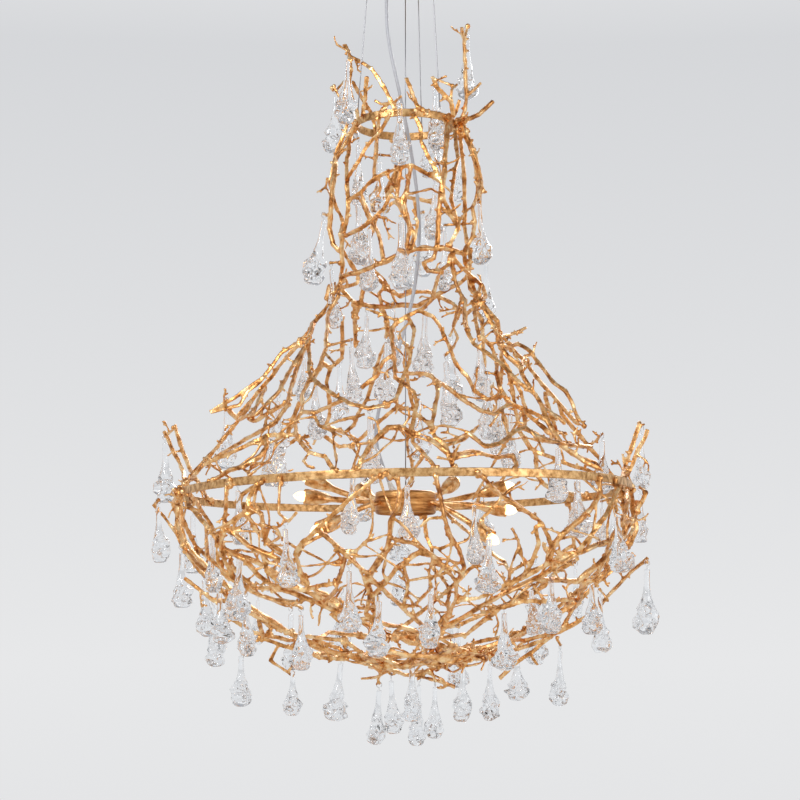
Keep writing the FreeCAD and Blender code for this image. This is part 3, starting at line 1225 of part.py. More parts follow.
def cage(rings):
    bars = []
    plan_table(bars, "branches_neck_front", NECK_ROUTES_PIXELS)
    plan_turned(bars, "branches_neck_back", NECK_ROUTES_PIXELS, BACK_NECK, BACK_TURN_DEGREES)
    plan_table(bars, "branches_crown", CROWN_ROUTES_PIXELS)
    plan_table(bars, "branches_waist", WAIST_ROUTES_PIXELS)
    plan_turned(bars, "branches_waist", WAIST_ROUTES_PIXELS, BACK_WAIST, BACK_TURN_DEGREES)
    plan_table(bars, "branches_bell_left", BELL_LEFT_ROUTES_PIXELS)
    plan_table(bars, "branches_bell_right", BELL_RIGHT_ROUTES_PIXELS)
    plan_turned(bars, "branches_bell_back", BELL_LEFT_ROUTES_PIXELS, BACK_BELL_LEFT, BACK_TURN_DEGREES)
    plan_turned(bars, "branches_bell_back", BELL_RIGHT_ROUTES_PIXELS, BACK_BELL_RIGHT, BACK_TURN_DEGREES)
    plan_table(bars, "branches_bowl_left", BOWL_LEFT_ROUTES_PIXELS)
    plan_table(bars, "branches_bowl_right", BOWL_RIGHT_ROUTES_PIXELS)
    plan_table(bars, "branches_bowl_centre", BOWL_CENTRE_ROUTES_PIXELS)
    plan_turned(bars, "branches_bowl_back", BOWL_LEFT_ROUTES_PIXELS, BACK_BOWL_LEFT, BACK_TURN_DEGREES)
    plan_turned(bars, "branches_bowl_back", BOWL_RIGHT_ROUTES_PIXELS, BACK_BOWL_RIGHT, BACK_TURN_DEGREES)
    plan_turned(bars, "branches_bowl_back", BOWL_CENTRE_ROUTES_PIXELS, BACK_BOWL_CENTRE, BACK_TURN_DEGREES)
    plan_nest(bars)
    for degrees in SIDE_TURNS_DEGREES:
        plan_turned(bars, "branches_sides", BELL_RIGHT_ROUTES_PIXELS, SIDE_BELL, degrees)
        plan_turned(bars, "branches_sides", BOWL_CENTRE_ROUTES_PIXELS, SIDE_BOWL, degrees)
    tie_all(bars, rings)
    return bars


# Glass drops

class Drop:
    def __init__(self, node, top, bottom, width):
        self.node = node
        self.top = top
        self.bottom = bottom
        self.half = width / 2
        self.hook = Vector(top.x, top.y, top.z + size("hook_length"))
        self.length = top.distanceToPoint(bottom)
        self.along = unit(bottom - top)
        self.balls = [(top + self.along * (self.length * share), self.half * wide * PENTAGON_SHARE)
                      for share, wide in DROP_CHECK_SHARES]
        self.box = FreeCAD.BoundBox()
        for centre, radius in self.balls:
            self.box.add(centre)
        self.box.add(self.hook)
        self.box.enlarge(self.half)

    def far_from(self, bar):
        room = FreeCAD.BoundBox(self.box)
        room.enlarge(self.length / 2)
        return not room.intersect(bar.box)

    def clear_of(self, bar, margin):
        if not self.box.intersect(bar.box):
            return True
        for a, b in zip(bar.points, bar.points[1:]):
            for centre, radius in self.balls:
                if nearest_on_run(centre, a, b).distanceToPoint(centre) < radius + bar.reach + margin:
                    return False
            if run_gap(self.hook, self.top, a, b) < bar.reach + margin:
                return False
        return True

    def clear_of_drop(self, other, margin):
        if not self.box.intersect(other.box):
            return True
        for centre, radius in self.balls:
            for place, wide in other.balls:
                if centre.distanceToPoint(place) < radius + wide + margin:
                    return False
        return True

    def solid(self):
        stations = [(self.length * share, self.half * wide * PENTAGON_SHARE) for share, wide in DROP_SHARES]
        return tapered_solid(self.top, self.along, stations, GLASS_SIDES)


def seat_drop(name, candidates, bars, drops, fixtures):
    # First candidate, nearest to the photographed place, that hangs clear and finds a branch to hang from
    margin = size("swing_clearance") if name.startswith("drop_") else size("drop_clearance")
    for top, bottom, width in candidates:
        drop = Drop(name, top, bottom, width)
        if not all(drop.clear_of(bar, margin) for bar in bars):
            continue
        if not all(drop.clear_of(bar, gap) for bar, gap in fixtures):
            continue
        if not all(drop.clear_of_drop(other, drop_margin(drop, other)) for other in drops):
            continue
        hanger = find_hanger(drop, bars, drops, fixtures)
        if hanger and (not name.startswith("drop_") or swings_free(drop, hanger, bars, drops, fixtures)):
            return drop, hanger
    return None, None


def swung(drop, pivot, axis, degrees):
    turn = Rotation(axis, degrees)
    return [(pivot + turn.multVec(centre - pivot), radius) for centre, radius in drop.balls]


def swing_axis(twig):
    along = twig.points[-1] - twig.points[0]
    return unit(Vector(along.x, along.y, 0))


def balls_clear(balls, bar, margin):
    for a, b in zip(bar.points, bar.points[1:]):
        for centre, radius in balls:
            if nearest_on_run(centre, a, b).distanceToPoint(centre) < radius + bar.reach + margin:
                return False
    return True


def swings_free(drop, twig, bars, drops, fixtures):
    # Whether the drop can swing about its twig, either way, without touching its neighbours
    axis = swing_axis(twig)
    for degrees in SWING_DEGREES:
        balls = swung(drop, drop.hook, axis, degrees)
        near = [bar for bar in bars + [fixture for fixture, gap in fixtures] if not drop.far_from(bar)]
        if not all(balls_clear(balls, bar, size("hook_gap") * 4) for bar in near + [twig]):
            return False
        for other in drops:
            for centre, radius in balls:
                for place, wide in other.balls:
                    if centre.distanceToPoint(place) < radius + wide + size("hook_gap") * 4:
                        return False
    return True


def drop_margin(drop, other):
    swings = drop.node.startswith("drop_") or other.node.startswith("drop_")
    return size("swing_clearance") if swings else size("drop_clearance")


def find_hanger(drop, bars, drops, fixtures):
    # Shortest twig from a branch to just past the drop's hook that passes clear of every drop
    radius = size("twig_radius")
    reach = corner_radius(radius, TWIG_SIDES)
    lift = Vector(drop.hook.x, drop.hook.y, drop.hook.z + reach)
    places = sorted((bar.nearest(lift) for bar in bars), key=lambda place: place.distanceToPoint(lift))
    for place in places[:8]:
        span = place.distanceToPoint(lift)
        if span < reach * 2:
            continue
        end = lift + unit(lift - place) * size("hanger_overrun")
        twig = Bar("hanger", [place, end], radius, TWIG_SIDES)
        if not all(other.clear_of(twig, size("hook_gap")) for other in drops):
            continue
        if not drop_under(drop, twig):
            continue
        blocked = False
        for bar, gap in fixtures:
            least = twig.gap(bar)
            if least is not None and least < gap:
                blocked = True
        if not blocked:
            return twig
    return None


def drop_under(drop, twig):
    for centre, radius in drop.balls:
        if twig.nearest(centre).distanceToPoint(centre) < radius + twig.reach:
            return False
    return True


def alternate(step, count):
    yield 0.0
    for k in range(1, count):
        yield -step * k
        yield step * k


def photo_candidates(side, top, bottom, width):
    # Places along the ray of the photograph, nearest the skin first
    height = photo_point(top, 0.0)[2]
    x = photo_point(top, 0.0)[0]
    radius = between(height, PROFILE)
    skin = math.sqrt(max(radius * radius - x * x, 0.0))
    start = {"near": -skin, "far": skin, "middle": -MIDDLE_SHARE * skin}[side]
    step = size("drop_search_step") / real_scale(height)
    for offset in alternate(step, 34):
        depth = start + offset
        high = photo_point(top, depth)
        low = photo_point(bottom, depth)
        scale = real_scale(high[2])
        near = (PHOTO_DISTANCE_PIXELS + depth) / PHOTO_DISTANCE_PIXELS
        real_top = real_point(*high)
        across = (low[0] - high[0]) * scale
        fall = real_height(high[2]) - real_height(low[2])
        yield real_top, Vector(real_top.x + across, real_top.y, real_top.z - fall), width * scale * near


def back_candidates(degrees, row, length, width):
    height = photo_point((PHOTO_AXIS_PIXELS, row), 0.0)[2]
    radius = between(height, PROFILE)
    step = size("drop_search_step") / real_scale(height)
    for offset in alternate(step, 30):
        turned = math.radians(degrees)
        place = radius + offset
        top = real_point(place * math.cos(turned), place * math.sin(turned), height)
        fall = real_height(height) - real_height(height - length)
        yield top, Vector(top.x, top.y, top.z - fall), width * real_scale(height)


def lowest_on(solid, place):
    # Height of a solid's underside over a point
    span = size("snap_distance") * 2
    line = Part.makeLine(Vector(place.x, place.y, place.z - span), Vector(place.x, place.y, place.z + span))
    common = solid.common(line)
    return min(vertex.Point.z for vertex in common.Vertexes)


def hang_drops(bars, fixtures):
    drops = []
    hangers = []
    groups = [("drops_crown", CROWN_DROPS_PIXELS), ("drops_neck", NECK_DROPS_PIXELS), ("drops_bell", BELL_DROPS_PIXELS),
              ("drops_rim", RIM_DROPS_PIXELS), ("drops_bottom", BOTTOM_DROPS_PIXELS), ("drops_bowl", BOWL_DROPS_PIXELS)]
    wanted = []
    for group, table in groups:
        for name, (side, top, bottom, width) in table.items():
            node = name if name.startswith("drop_") else group
            wanted.append((node, name, photo_candidates(side, top, bottom, width)))
    for degrees, row, length, width in BACK_DROPS_PIXELS:
        wanted.append(("drops_back", "back %d" % degrees, back_candidates(degrees, row, length, width)))
    wanted.sort(key=lambda item: not item[0].startswith("drop_"))
    for node, name, candidates in wanted:
        drop, twig = seat_drop(node, candidates, bars, drops, fixtures)
        if drop is None:
            print("no place for", node, name)
            continue
        node_name = "hangers_upper" if drop.top.z > -size("main_ring_drop") else "hangers_lower"
        twig.node = node_name
        twig.name = name
        twig.rings = bar_rings(twig.points, twig.radius, twig.sides)
        twig.solid = solid_from_rings(trimmed_rings(twig, bars))
        bars.append(twig)
        drops.append(drop)
        hangers.append(twig)
    return drops, hangers


def without(solid, tools, least_volume):
    # What is left of a solid outside the tools, in one cut, or one tool after another where that fails
    if not tools:
        return [solid]
    orders = [[tools], [[tool] for tool in tools], [[tool] for tool in reversed(tools)]]
    for order in orders:
        rest = solid
        for step in order:
            rest = rest.cut(step)
        kept = [piece for piece in rest.Solids if piece.Volume > least_volume]
        if all(piece.isValid() for piece in kept):
            return kept
    return None


def cut_bars(bars, blanks):
    # Each bar loses what lies inside the bars that were there before it, so they meet face to face
    placed = list(blanks)
    pieces = {}
    for bar in bars:
        tools = []
        for other in placed:
            least = bar.gap(other)
            if least is not None and least < 0:
                tools.append(other.solid)
        solids = None
        for nudge in NUDGES:
            moved = bar.solid.translated(Vector(*nudge) * size("hook_gap"))
            solids = without(moved, tools, TINY_SHARE * moved.Volume)
            if solids:
                break
        if not solids:
            raise RuntimeError("%s %s could not be cut" % (bar.node, bar.name))
        bar.solid = moved
        pieces.setdefault(bar.node, []).extend(solids)
        placed.append(bar)
        bar.pieces = solids
    return pieces


def glass(drops, hangers):
    pieces = {}
    thick = size("hook_thickness")
    for drop, twig in zip(drops, hangers):
        seat = drop.hook
        corners = polygon_ring(twig_point(twig, seat), Vector(0, 0, 1), thick * HOOK_SHARE, TRUNK_SIDES)
        under = min(lowest_on(twig.solid, corner) for corner in corners)
        top = under - size("hook_gap")
        low = drop.top.z - thick
        pin = tapered_solid(Vector(seat.x, seat.y, low), Vector(0, 0, 1),
                            [(0.0, thick * HOOK_SHARE), (top - low, thick * HOOK_SHARE)], TRUNK_SIDES)
        body = drop.solid().fuse(pin).removeSplitter()
        pieces.setdefault(drop.node, []).extend(body.Solids)
        drop.pivot = Vector(seat.x, seat.y, top)
        drop.twig = twig
    return pieces


def twig_point(twig, seat):
    place = twig.nearest(Vector(seat.x, seat.y, twig.points[-1].z))
    return Vector(seat.x, seat.y, place.z)


def build():
    ceiling_plate()
    canopy_cover()
    canopy_studs()
    terminal_block()
    band_ring("crown_band", "crown_ring", CROWN_RING_FLATS, "crown_ring_radius", "crown_ring_drop")
    band_ring("main_band", "main_ring", MAIN_RING_FLATS, "main_ring_radius", "main_ring_drop", TILT_DEGREES)
    hub_parts()
    doc.recompute()
    wire_anchors()
    wires()
    power_cord()
    cord_glands()
    lamps()
    crown = ring_bar("crown_ring", CROWN_RING_FLATS, "crown_ring_radius", "crown_ring_drop")
    main = ring_bar("main_ring", MAIN_RING_FLATS, "main_ring_radius", "main_ring_drop", TILT_DEGREES)
    bars = cage([crown, main])
    print("bars %d, runs %d" % (len(bars), sum(len(bar.points) - 1 for bar in bars)))
    margin = size("drop_clearance")
    fixtures = [(crown, margin), (main, margin)]
    cord = Bar("power_cord", cord_points(), size("cord_diameter") / 2, CORD_SIDES)
    fixtures.append((cord, size("cord_clearance")))
    for index in range(4):
        top, bottom = wire_ends(index)
        fixtures.append((Bar("wire", [top, bottom], size("wire_diameter") / 2, 6), margin * 2))
    hub_points = [Vector(0, 0, hub_centre() - 1), Vector(0, 0, hub_centre() + 1)]
    fixtures.append((Bar("hub_body", hub_points, size("hub_radius"), HUB_FLATS), margin))
    for index in range(len(LAMP_SHARES)):
        root, elbow, base, along = lamp_axis(index)
        end = base + along * (size("sleeve_length") + size("bulb_length"))
        fixtures.append((Bar("lamp", [root, elbow, base, end], size("sleeve_mouth_radius"), SLEEVE_SIDES), margin))
    for bar in bars:
        for fixture, gap in fixtures[2:]:
            least = bar.gap(fixture)
            if least is not None and least < gap:
                print("too close: %s %s, %s %.1f" % (bar.node, bar.name, fixture.node, least))
    drops, hangers = hang_drops(bars, fixtures)
    print("drops %d" % len(drops))
    STATE.update(drops=drops, bars=bars, fixtures=fixtures)
    for node, solids in cut_bars(bars, [crown, main]).items():
        feature(node, solids)
    for node, solids in glass(drops, hangers).items():
        feature(node, solids)
    doc.recompute()


def check_and_write():
    for obj in doc.Objects:
        if "Invalid" in obj.State or "Error" in obj.State:
            raise RuntimeError("%s failed" % obj.Label)
    for node in NODES:
        if node.Shape.isNull() or not node.Shape.isValid():
            raise RuntimeError("%s has no valid shape" % node.Label)
    total = 0
    for node in NODES:
        node.Shape.exportStep("parts/%s.step" % node.Label)
        total += len(node.Shape.Solids)
    print("%d nodes, %d solids" % (len(NODES), total))


build()
check_and_write()
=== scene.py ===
import bmesh
import bpy
import json
import math
import random
from mathutils import Matrix, Vector, noise
from mathutils.bvhtree import BVHTree


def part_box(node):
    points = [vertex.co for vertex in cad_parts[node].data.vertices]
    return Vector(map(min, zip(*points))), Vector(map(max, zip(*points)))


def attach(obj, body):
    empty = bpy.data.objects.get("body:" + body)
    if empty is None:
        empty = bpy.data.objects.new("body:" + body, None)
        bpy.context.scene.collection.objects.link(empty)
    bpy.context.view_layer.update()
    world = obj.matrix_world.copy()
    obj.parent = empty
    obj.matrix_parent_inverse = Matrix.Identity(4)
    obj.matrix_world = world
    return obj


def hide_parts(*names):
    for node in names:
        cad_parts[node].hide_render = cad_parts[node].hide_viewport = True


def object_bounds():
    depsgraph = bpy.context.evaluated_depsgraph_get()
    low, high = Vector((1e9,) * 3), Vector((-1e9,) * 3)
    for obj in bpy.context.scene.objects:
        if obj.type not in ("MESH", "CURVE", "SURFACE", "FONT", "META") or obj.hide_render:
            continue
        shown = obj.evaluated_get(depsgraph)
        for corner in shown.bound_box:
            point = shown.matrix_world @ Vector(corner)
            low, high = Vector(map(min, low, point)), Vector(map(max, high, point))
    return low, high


# Everything is in metres. The lamp hangs from the origin towards -Z, and -Y is the photographed side.

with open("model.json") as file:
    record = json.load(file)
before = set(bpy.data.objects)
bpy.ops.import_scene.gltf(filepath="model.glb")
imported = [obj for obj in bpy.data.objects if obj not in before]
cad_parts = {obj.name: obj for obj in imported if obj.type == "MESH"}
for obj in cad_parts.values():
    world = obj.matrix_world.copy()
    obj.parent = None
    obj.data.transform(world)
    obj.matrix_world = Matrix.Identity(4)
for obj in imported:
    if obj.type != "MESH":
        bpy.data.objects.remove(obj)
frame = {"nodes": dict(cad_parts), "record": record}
cad_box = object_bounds()
nodes = frame["nodes"]
BODY_OF = {node: body for body, held in frame["record"]["behaviour"]["bodies"].items() for node in held}
OPENINGS = [opening["box_m"] for opening in frame["record"]["physics"]["openings"]]
UP = Vector((0, 0, 1))
NEARLY_UPRIGHT = 0.9
WELD_DISTANCE = 1e-6

# Camera: below the main ring, looking up a little
CAMERA_PLACE = (0.0, -4.2598, -1.43335)
CAMERA_PITCH_DEGREES = 6.956
CAMERA_YAW_DEGREES = 0.15
CAMERA_REACH = 100.0
LENS_MM = 96.48
SENSOR_MM = 36.0

# Power cord: the route's points, from the gland in the canopy to the top of the hub
CORD_DIAMETER = 0.007
CORD_POINTS = [(-0.039, 0.0, -0.048), (-0.039, 0.0, -0.088), (-0.038, -0.003, -0.148), (-0.029, -0.007, -0.208),
               (-0.014, -0.014, -0.276), (0.002, -0.017, -0.356), (0.017, -0.016, -0.443), (0.028, -0.013, -0.533),
               (0.027, -0.011, -0.618), (0.017, -0.015, -0.700), (-0.002, -0.018, -0.776), (-0.028, -0.015, -0.854),
               (-0.052, -0.007, -0.922), (-0.062, 0.0, -0.986), (-0.049, 0.001, -1.040), (-0.033, 0.0, -1.078)]

# Branch bark
VOXEL = 0.0018
SMOOTH_FACTOR = 0.5
SMOOTH_ROUNDS = 4
SWELL = -0.0003
BEND_REACH = 0.0026
BEND_FREQUENCY = 24.0
BEND_SEED = 11
LUMP_HEIGHT = 0.0013
LUMP_FREQUENCY = 62.0
GRAIN_HEIGHT = 0.00045
GRAIN_FREQUENCY = 300.0
CRUMB_SIZE = 0.012

# Side growth. A twig's thickness is in shares of its radius; its knot is pairs of the distance back from
# the tip, in radii, and the thickness there. Below, DEPTH is how many radii a root sits in its branch,
# SLANT how far a twig leans along it, SPREAD how far it strays, CLEARANCE a share of GROWTH_CLEARANCE
TWIG_SIDES = 6
TWIG_ROOT = 1.15
TWIG_RUN = 0.95
TWIG_KNOT = [(1.4, 0.92), (0.4, 1.02), (0.0, 0.45)]
SHARP_EDGE_ANGLE = 0.6
SHORTEST_GROWTH_RUN = 0.014
GROWTH_SPACING = 0.060
EDGES_OF_A_BAR = 3.0
GROWTH_PLACES = (0.1, 0.9)
GROWTH_CLEARANCE = 0.010
BOX_MARGIN = 0.004

# Stubs: short and straight
STUB_LENGTHS = (0.003, 0.007)
STUB_RADIUS = 0.0030
STUB_DEPTH = 1.4
STUB_SLANT = 0.9
STUB_SPREAD = 0.3
STUB_CLEARANCE = 0.6

# Sprigs: two bends and one or two forks
SPRIG_CHANCE = 0.36
SPRIG_LENGTHS = (0.018, 0.042)
SPRIG_RADIUS = 0.0028
SPRIG_DEPTH = 1.2
SPRIG_SLANT = 1.0
SPRIG_SPREAD = 0.2
SPRIG_BEND = 0.6
SPRIG_RUNS = (0.45, 0.32, 0.28)
FORK_COUNTS = (1, 1, 2)
FORK_SPREAD = 0.9
FORK_SLANT = 0.7
FORK_LENGTHS = (0.25, 0.42)
FORK_THICKNESS = 0.88

# Shoots: thin, and cross from branch to branch. Their bends are shares of the run and of the bow
SHOOT_RADIUS = 0.0029
SHOOT_SPANS = (0.045, 0.120)
SHOOT_PLACES = (0.2, 0.8)
SHOOT_DEPTH = 0.8
SHOOT_BOWS = (0.08, 0.20)
SHOOT_BENDS = [(0.22, 0.65), (0.45, 1.0), (0.7, 0.8)]
SHOOT_STRAY = 0.06
BOW_STRAY = 0.3
SHOOT_THICKNESS = (0.9, 1.15)
SHOOT_STEPS = 3
SHOOT_CLEARANCE = 0.8
SHOOT_TRIES = 4000
SHOOTS = {"branches_bowl_nest": 84, "branches_bowl_centre": 26, "branches_bowl_left": 24,
          "branches_bowl_right": 24, "branches_bowl_back": 48, "branches_bell_left": 10,
          "branches_bell_right": 10, "branches_bell_back": 8, "branches_neck_front": 3,
          "branches_neck_back": 3, "branches_sides": 6, "branches_waist": 3}

# Knuckles: swollen joints where branches meet, slimmer beside swinging glass
KNUCKLE_RADIUS = 0.0060
KNUCKLE_DEPTH = 0.4
KNUCKLE_REACH = 0.0008
KNUCKLE_SPACING = 0.010
KNUCKLE_SIDES = 8
KNUCKLE_OUTLINE = [(-0.98, 0.2), (-0.7, 0.71), (0.0, 1.0), (0.7, 0.71), (0.98, 0.2)]
SWING_SPACE = 0.024
SLIM_KNUCKLE_SHARE = 0.6

# Rings of flat bar. Squareness 1 is a round section, 0 a square one; the hammer marks' frequencies are
# those round the ring, up its face and from its inner to its outer side
BAND_SQUARENESS = 0.28
BAND_CORNERS = 20
MAIN_RING_TILT_DEGREES = -1.1
MAIN_RING_SIDES = 480
CROWN_RING_SIDES = 180
BAND_INSET = 0.0006
BAND_THINNING = 0.0007
BAND_LOWERING = 0.0001
HAMMER_DEPTH = 0.0007
HAMMER_FREQUENCIES = (55, 330, 3)
FINE_HAMMER_DEPTH = 0.0003
FINE_HAMMER_FREQUENCY = 2.7
EDGE_WAVE = 0.0006
EDGE_WAVE_FREQUENCY = 130

# Hub drum
DRUM_WALL = 0.003
DRUM_SOFTNESS = 0.005
DRUM_BORE = 0.006
DRUM_STEPS = 12
DRUM_SIDES = 144
STREAK_SHARE = 0.012
STREAK_LEVEL = 0.6
STREAK_FREQUENCY = 4
STREAK_BAND_FREQUENCY = 420
UNDERSIDE_INSET = 0.001
UNDERSIDE_SIDES = 96

# Bud lamps: an arm that swells into a bud, a bulb holder and a capsule bulb. The ridges' frequencies are
# those round an arm, along it and from arm to arm
LAMP_SIDES = 28
BUD_SIDES = 26
BUD_STEPS = 9
ARM_DEPTH = 0.0035
ELBOW_SHARES = (0.35, 0.65)
ARM_RADIUS = 0.0042
ARM_GROWTH = 0.0020
BUD_RADIUS = 0.0062
BUD_SWELL = 0.0090
BUD_SWELL_RATE = 1.25
RIDGE_HEIGHT = 0.0011
RIDGE_FREQUENCIES = (2.6, 7, 9)
BUD_GRAIN_HEIGHT = 0.0004
LIP_WAVE = (-0.0016, 0.0004)
MOUTH_SHARE = 0.86
THROAT_DEPTH = 0.012
THROAT_SHARE = 0.82
BUD_FLOOR_SHARE = 0.62
HOLDER_RADIUS = 0.0075
HOLDER_GROOVE = 0.001
BULB_OUTLINE = [(0.0, 0.0062), (0.10, 0.0072), (0.3, 0.0088), (0.6, 0.0102), (0.85, 0.0099), (1.05, 0.0080),
                (1.22, 0.0050), (1.33, 0.0022), (1.37, 0.0004)]

# Glass drop: share of the length from the neck's top, share of the half width
DROP_PROFILE = [(0.0, 0.14), (0.012, 0.20), (0.05, 0.21), (0.15, 0.205), (0.27, 0.225), (0.36, 0.28), (0.43, 0.37),
                (0.49, 0.49), (0.55, 0.62), (0.60, 0.72), (0.65, 0.81), (0.70, 0.90), (0.75, 0.96), (0.80, 0.99),
                (0.85, 0.97), (0.90, 0.88), (0.94, 0.72), (0.975, 0.48), (0.995, 0.22)]
DROP_SIDES = 48
DROP_STEPS = 3
SOLID_SIDES = 5
PIN_CORNERS = 4
NECK_ROWS = 7
DROP_NECK_SHARE = 0.42
BODY_RISE = 0.2
BODY_END = 1.02
BODY_FALL = 0.12
HALF_WIDTH_SHARE = 0.97
DROP_CORE_SHARE = 0.68
DROP_SHOULDER_SHARE = 0.76
DROP_LEAN = 0.12
SQUARE_FEET = (0.55, 1.0)
SWING_ROOM = 1.3
FOLD_SHARE = 0.12
FOLD_COUNTS = (2, 3, 3, 4)
FOLD_TWISTS = (2.5, 6.0)
LOBE_COUNTS = (3, 4, 5, 6)
LOBE_PLACES = (0.56, 0.93)
LOBE_SHARES = (0.26, 0.62)
LOBE_WIDTHS = (0.34, 0.80)
LOBE_HEIGHTS = (0.040, 0.085)
RUFFLE_SCALE = 1.35
RUFFLE_SHIFT = 50
RUFFLE_SHARE = 0.34
RUFFLE_FREQUENCY = 1.2
RIPPLE_SHARE = 0.12
RIPPLE_FREQUENCY = 2.7

# Wire hook: a loop that hangs on its twig, and a straight end into the glass
HOOK_WIRE = 0.0006
HOOK_SIDES = 6
HOOK_RADIUS = 0.0056
HOOK_REST = 0.0035
HOOK_TURN_DEGREES = 318
HOOK_STEPS = 12
HOOK_ROOT = 0.001
HOOK_KNEE_SHARE = 0.2
HOOK_GAP = 0.0012
TWIG_AXIS_LIFT = 0.004
TWIG_END_CORNERS = 3

# Canopy
CANOPY_SOFTNESS = 0.007
CANOPY_WALL = 0.002
CANOPY_LIP = 0.001
CANOPY_HOLE = 0.0035
CANOPY_SIDES = 128
CANOPY_STEPS = 6
CANOPY_CORNER_STEPS = 7
BUSH_LIFT = 0.0005
BUSH_OUTLINE = [(0.0, 0.0055), (0.0018, 0.0052), (0.0026, 0.0040), (0.0028, 0.0016), (0.0, 0.0016)]
BUSH_SIDES = 32

# Studio floor
FLOOR_HEIGHT = -2.35
FLOOR_RADIUS = 9.0
FLOOR_CORNERS = 96
FLOOR_TONE = (0.72, 0.725, 0.735)
FLOOR_TONE_SHARE = 0.5

# Backdrop: share of the way from straight down to straight up, and its colour there
SKY_STOPS = [(0.0, (0.52, 0.53, 0.55)), (0.30, (0.66, 0.67, 0.69)), (0.50, (0.80, 0.805, 0.815)),
             (0.64, (0.67, 0.68, 0.70)), (0.72, (1.0, 1.0, 1.0)), (0.78, (0.42, 0.43, 0.46)),
             (0.90, (0.24, 0.25, 0.28)), (1.0, (0.80, 0.80, 0.82))]

# Surfaces: where the shades lie on the noise, and the grain
# The gold's dark and bright shades, partly painted shade and painted highlight, lie in random patches at these
# places on the noise
GOLD_STOPS = (0.35, 0.48, 0.62)
GOLD_GRAIN_STRENGTH = 0.55
GOLD_GRAIN_HEIGHT = 0.0012
PLAIN_STOPS = (0.35, 0.65)
PLAIN_SHADE = 0.9
PLAIN_ROUGHNESS = (1.25, 0.8)
PLAIN_GRAIN_STRENGTH = 0.3
CRYSTAL_COLOUR = (0.97, 0.985, 1.0)
CRYSTAL_IOR = 1.52
CRYSTAL_ROUGHNESS = 0.01
BULB_COLOUR = (1.0, 0.86, 0.62)
BULB_GLOW = [(0.3, (1.0, 0.62, 0.22)), (0.7, (1.0, 0.84, 0.52))]
BULB_STRENGTH = 2.4
FLOOR_SHADES = [(0.3, (0.78, 0.78, 0.79)), (0.7, (0.82, 0.82, 0.825))]

# Light: the world's strength on the object, and area lamps by name, place, size and power
WORLD_STRENGTH = 0.68
LAMP_AIM = (0, 0, -0.9)
STUDIO_LAMPS = [("key", (-2.6, -3.4, 1.2), 1.4, 85.0), ("fill", (3.2, -2.4, -0.6), 2.0, 32.0),
                ("back", (0.8, 3.4, 0.8), 1.6, 50.0)]


# Geometry helpers

def skin(rings, capped=True):
    # Vertices and faces of a tube through rings of points
    points = [point for ring in rings for point in ring]
    count = len(rings[0])
    faces = []
    for i in range(len(rings) - 1):
        for k in range(count):
            j = (k + 1) % count
            faces.append((i * count + k, i * count + j, (i + 1) * count + j, (i + 1) * count + k))
    if capped:
        faces.append(tuple(reversed(range(count))))
        faces.append(tuple((len(rings) - 1) * count + k for k in range(count)))
    return points, faces


def closed_skin(rings):
    # The same, with the last ring joined to the first
    points, faces = skin(rings + [rings[0]], capped=False)
    count = len(points) - len(rings[0])
    return points[:count], [tuple(index % count for index in face) for face in faces]


def across(direction):
    # Two directions square to the given one
    helper = UP if abs(direction.z) < NEARLY_UPRIGHT else Vector((1, 0, 0))
    first = direction.cross(helper).normalized()
    return first, direction.cross(first).normalized()


def ring_at(centre, first, second, radius, sides):
    angles = [2 * math.pi * k / sides for k in range(sides)]
    return [centre + first * (radius * math.cos(angle)) + second * (radius * math.sin(angle)) for angle in angles]


def circle(centre, direction, radius, sides):
    return ring_at(centre, *across(direction), radius, sides)


def lathe(start, direction, profile, sides):
    # Profile is pairs of distance along the axis and radius
    return skin([circle(start + direction * along, direction, radius, sides) for along, radius in profile])


def sweep(points, radii, sides):
    # Tube along points, with a frame carried from one to the next
    runs = [(b - a).normalized() for a, b in zip(points, points[1:])]
    first = across(runs[0])[0]
    rings = []
    for i, point in enumerate(points):
        before = runs[max(i - 1, 0)]
        after = runs[min(i, len(runs) - 1)]
        tangent = (before + after).normalized()
        first = (first - tangent * first.dot(tangent)).normalized()
        rings.append(ring_at(point, first, tangent.cross(first), radii[i], sides))
    return skin(rings)


def curve_through(points, steps):
    # Smooth points through the given ones
    result = []
    last = len(points) - 1
    for i in range(last):
        a, b = points[max(i - 1, 0)], points[i]
        c, d = points[i + 1], points[min(i + 2, last)]
        for k in range(steps):
            t = k / steps
            result.append(0.5 * (2 * b + (c - a) * t + (2 * a - 5 * b + 4 * c - d) * t * t
                                 + (3 * b - a - 3 * c + d) * t * t * t))
    result.append(points[-1])
    return result


def joined(parts):
    # Several pairs of points and faces as one
    points = []
    faces = []
    for more_points, more_faces in parts:
        base = len(points)
        points.extend(more_points)
        faces.extend(tuple(base + index for index in face) for face in more_faces)
    return points, faces


def unit(value):
    # Held between 0 and 1
    return min(max(value, 0.0), 1.0)


def in_box(point):
    # The point, brought back within the lamp's own box
    low, high = cad_box
    return [min(max(point[k], low[k]), high[k]) for k in range(3)]


def make_object(name, points, faces, smooth=True, boxed=True):
    # A new mesh object
    mesh = bpy.data.meshes.new(name)
    mesh.from_pydata([in_box(point) if boxed else tuple(point) for point in points], [], faces)
    mesh.update()
    if smooth:
        mesh.polygons.foreach_set("use_smooth", [True] * len(mesh.polygons))
    obj = bpy.data.objects.new(name, mesh)
    bpy.context.scene.collection.objects.link(obj)
    return obj


def place(obj, material, node, *more):
    # The piece takes its material, stands for its CAD nodes and rides with them
    obj.data.materials.append(material)
    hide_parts(node, *more)
    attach(obj, BODY_OF[node])


# What the CAD nodes say

def box_of(node):
    low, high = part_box(node)
    return Vector(low), Vector(high)


def welded(node):
    # A node's mesh with its doubled corners joined
    mesh = bmesh.new()
    mesh.from_mesh(nodes[node].data)
    bmesh.ops.remove_doubles(mesh, verts=mesh.verts, dist=WELD_DISTANCE)
    return mesh


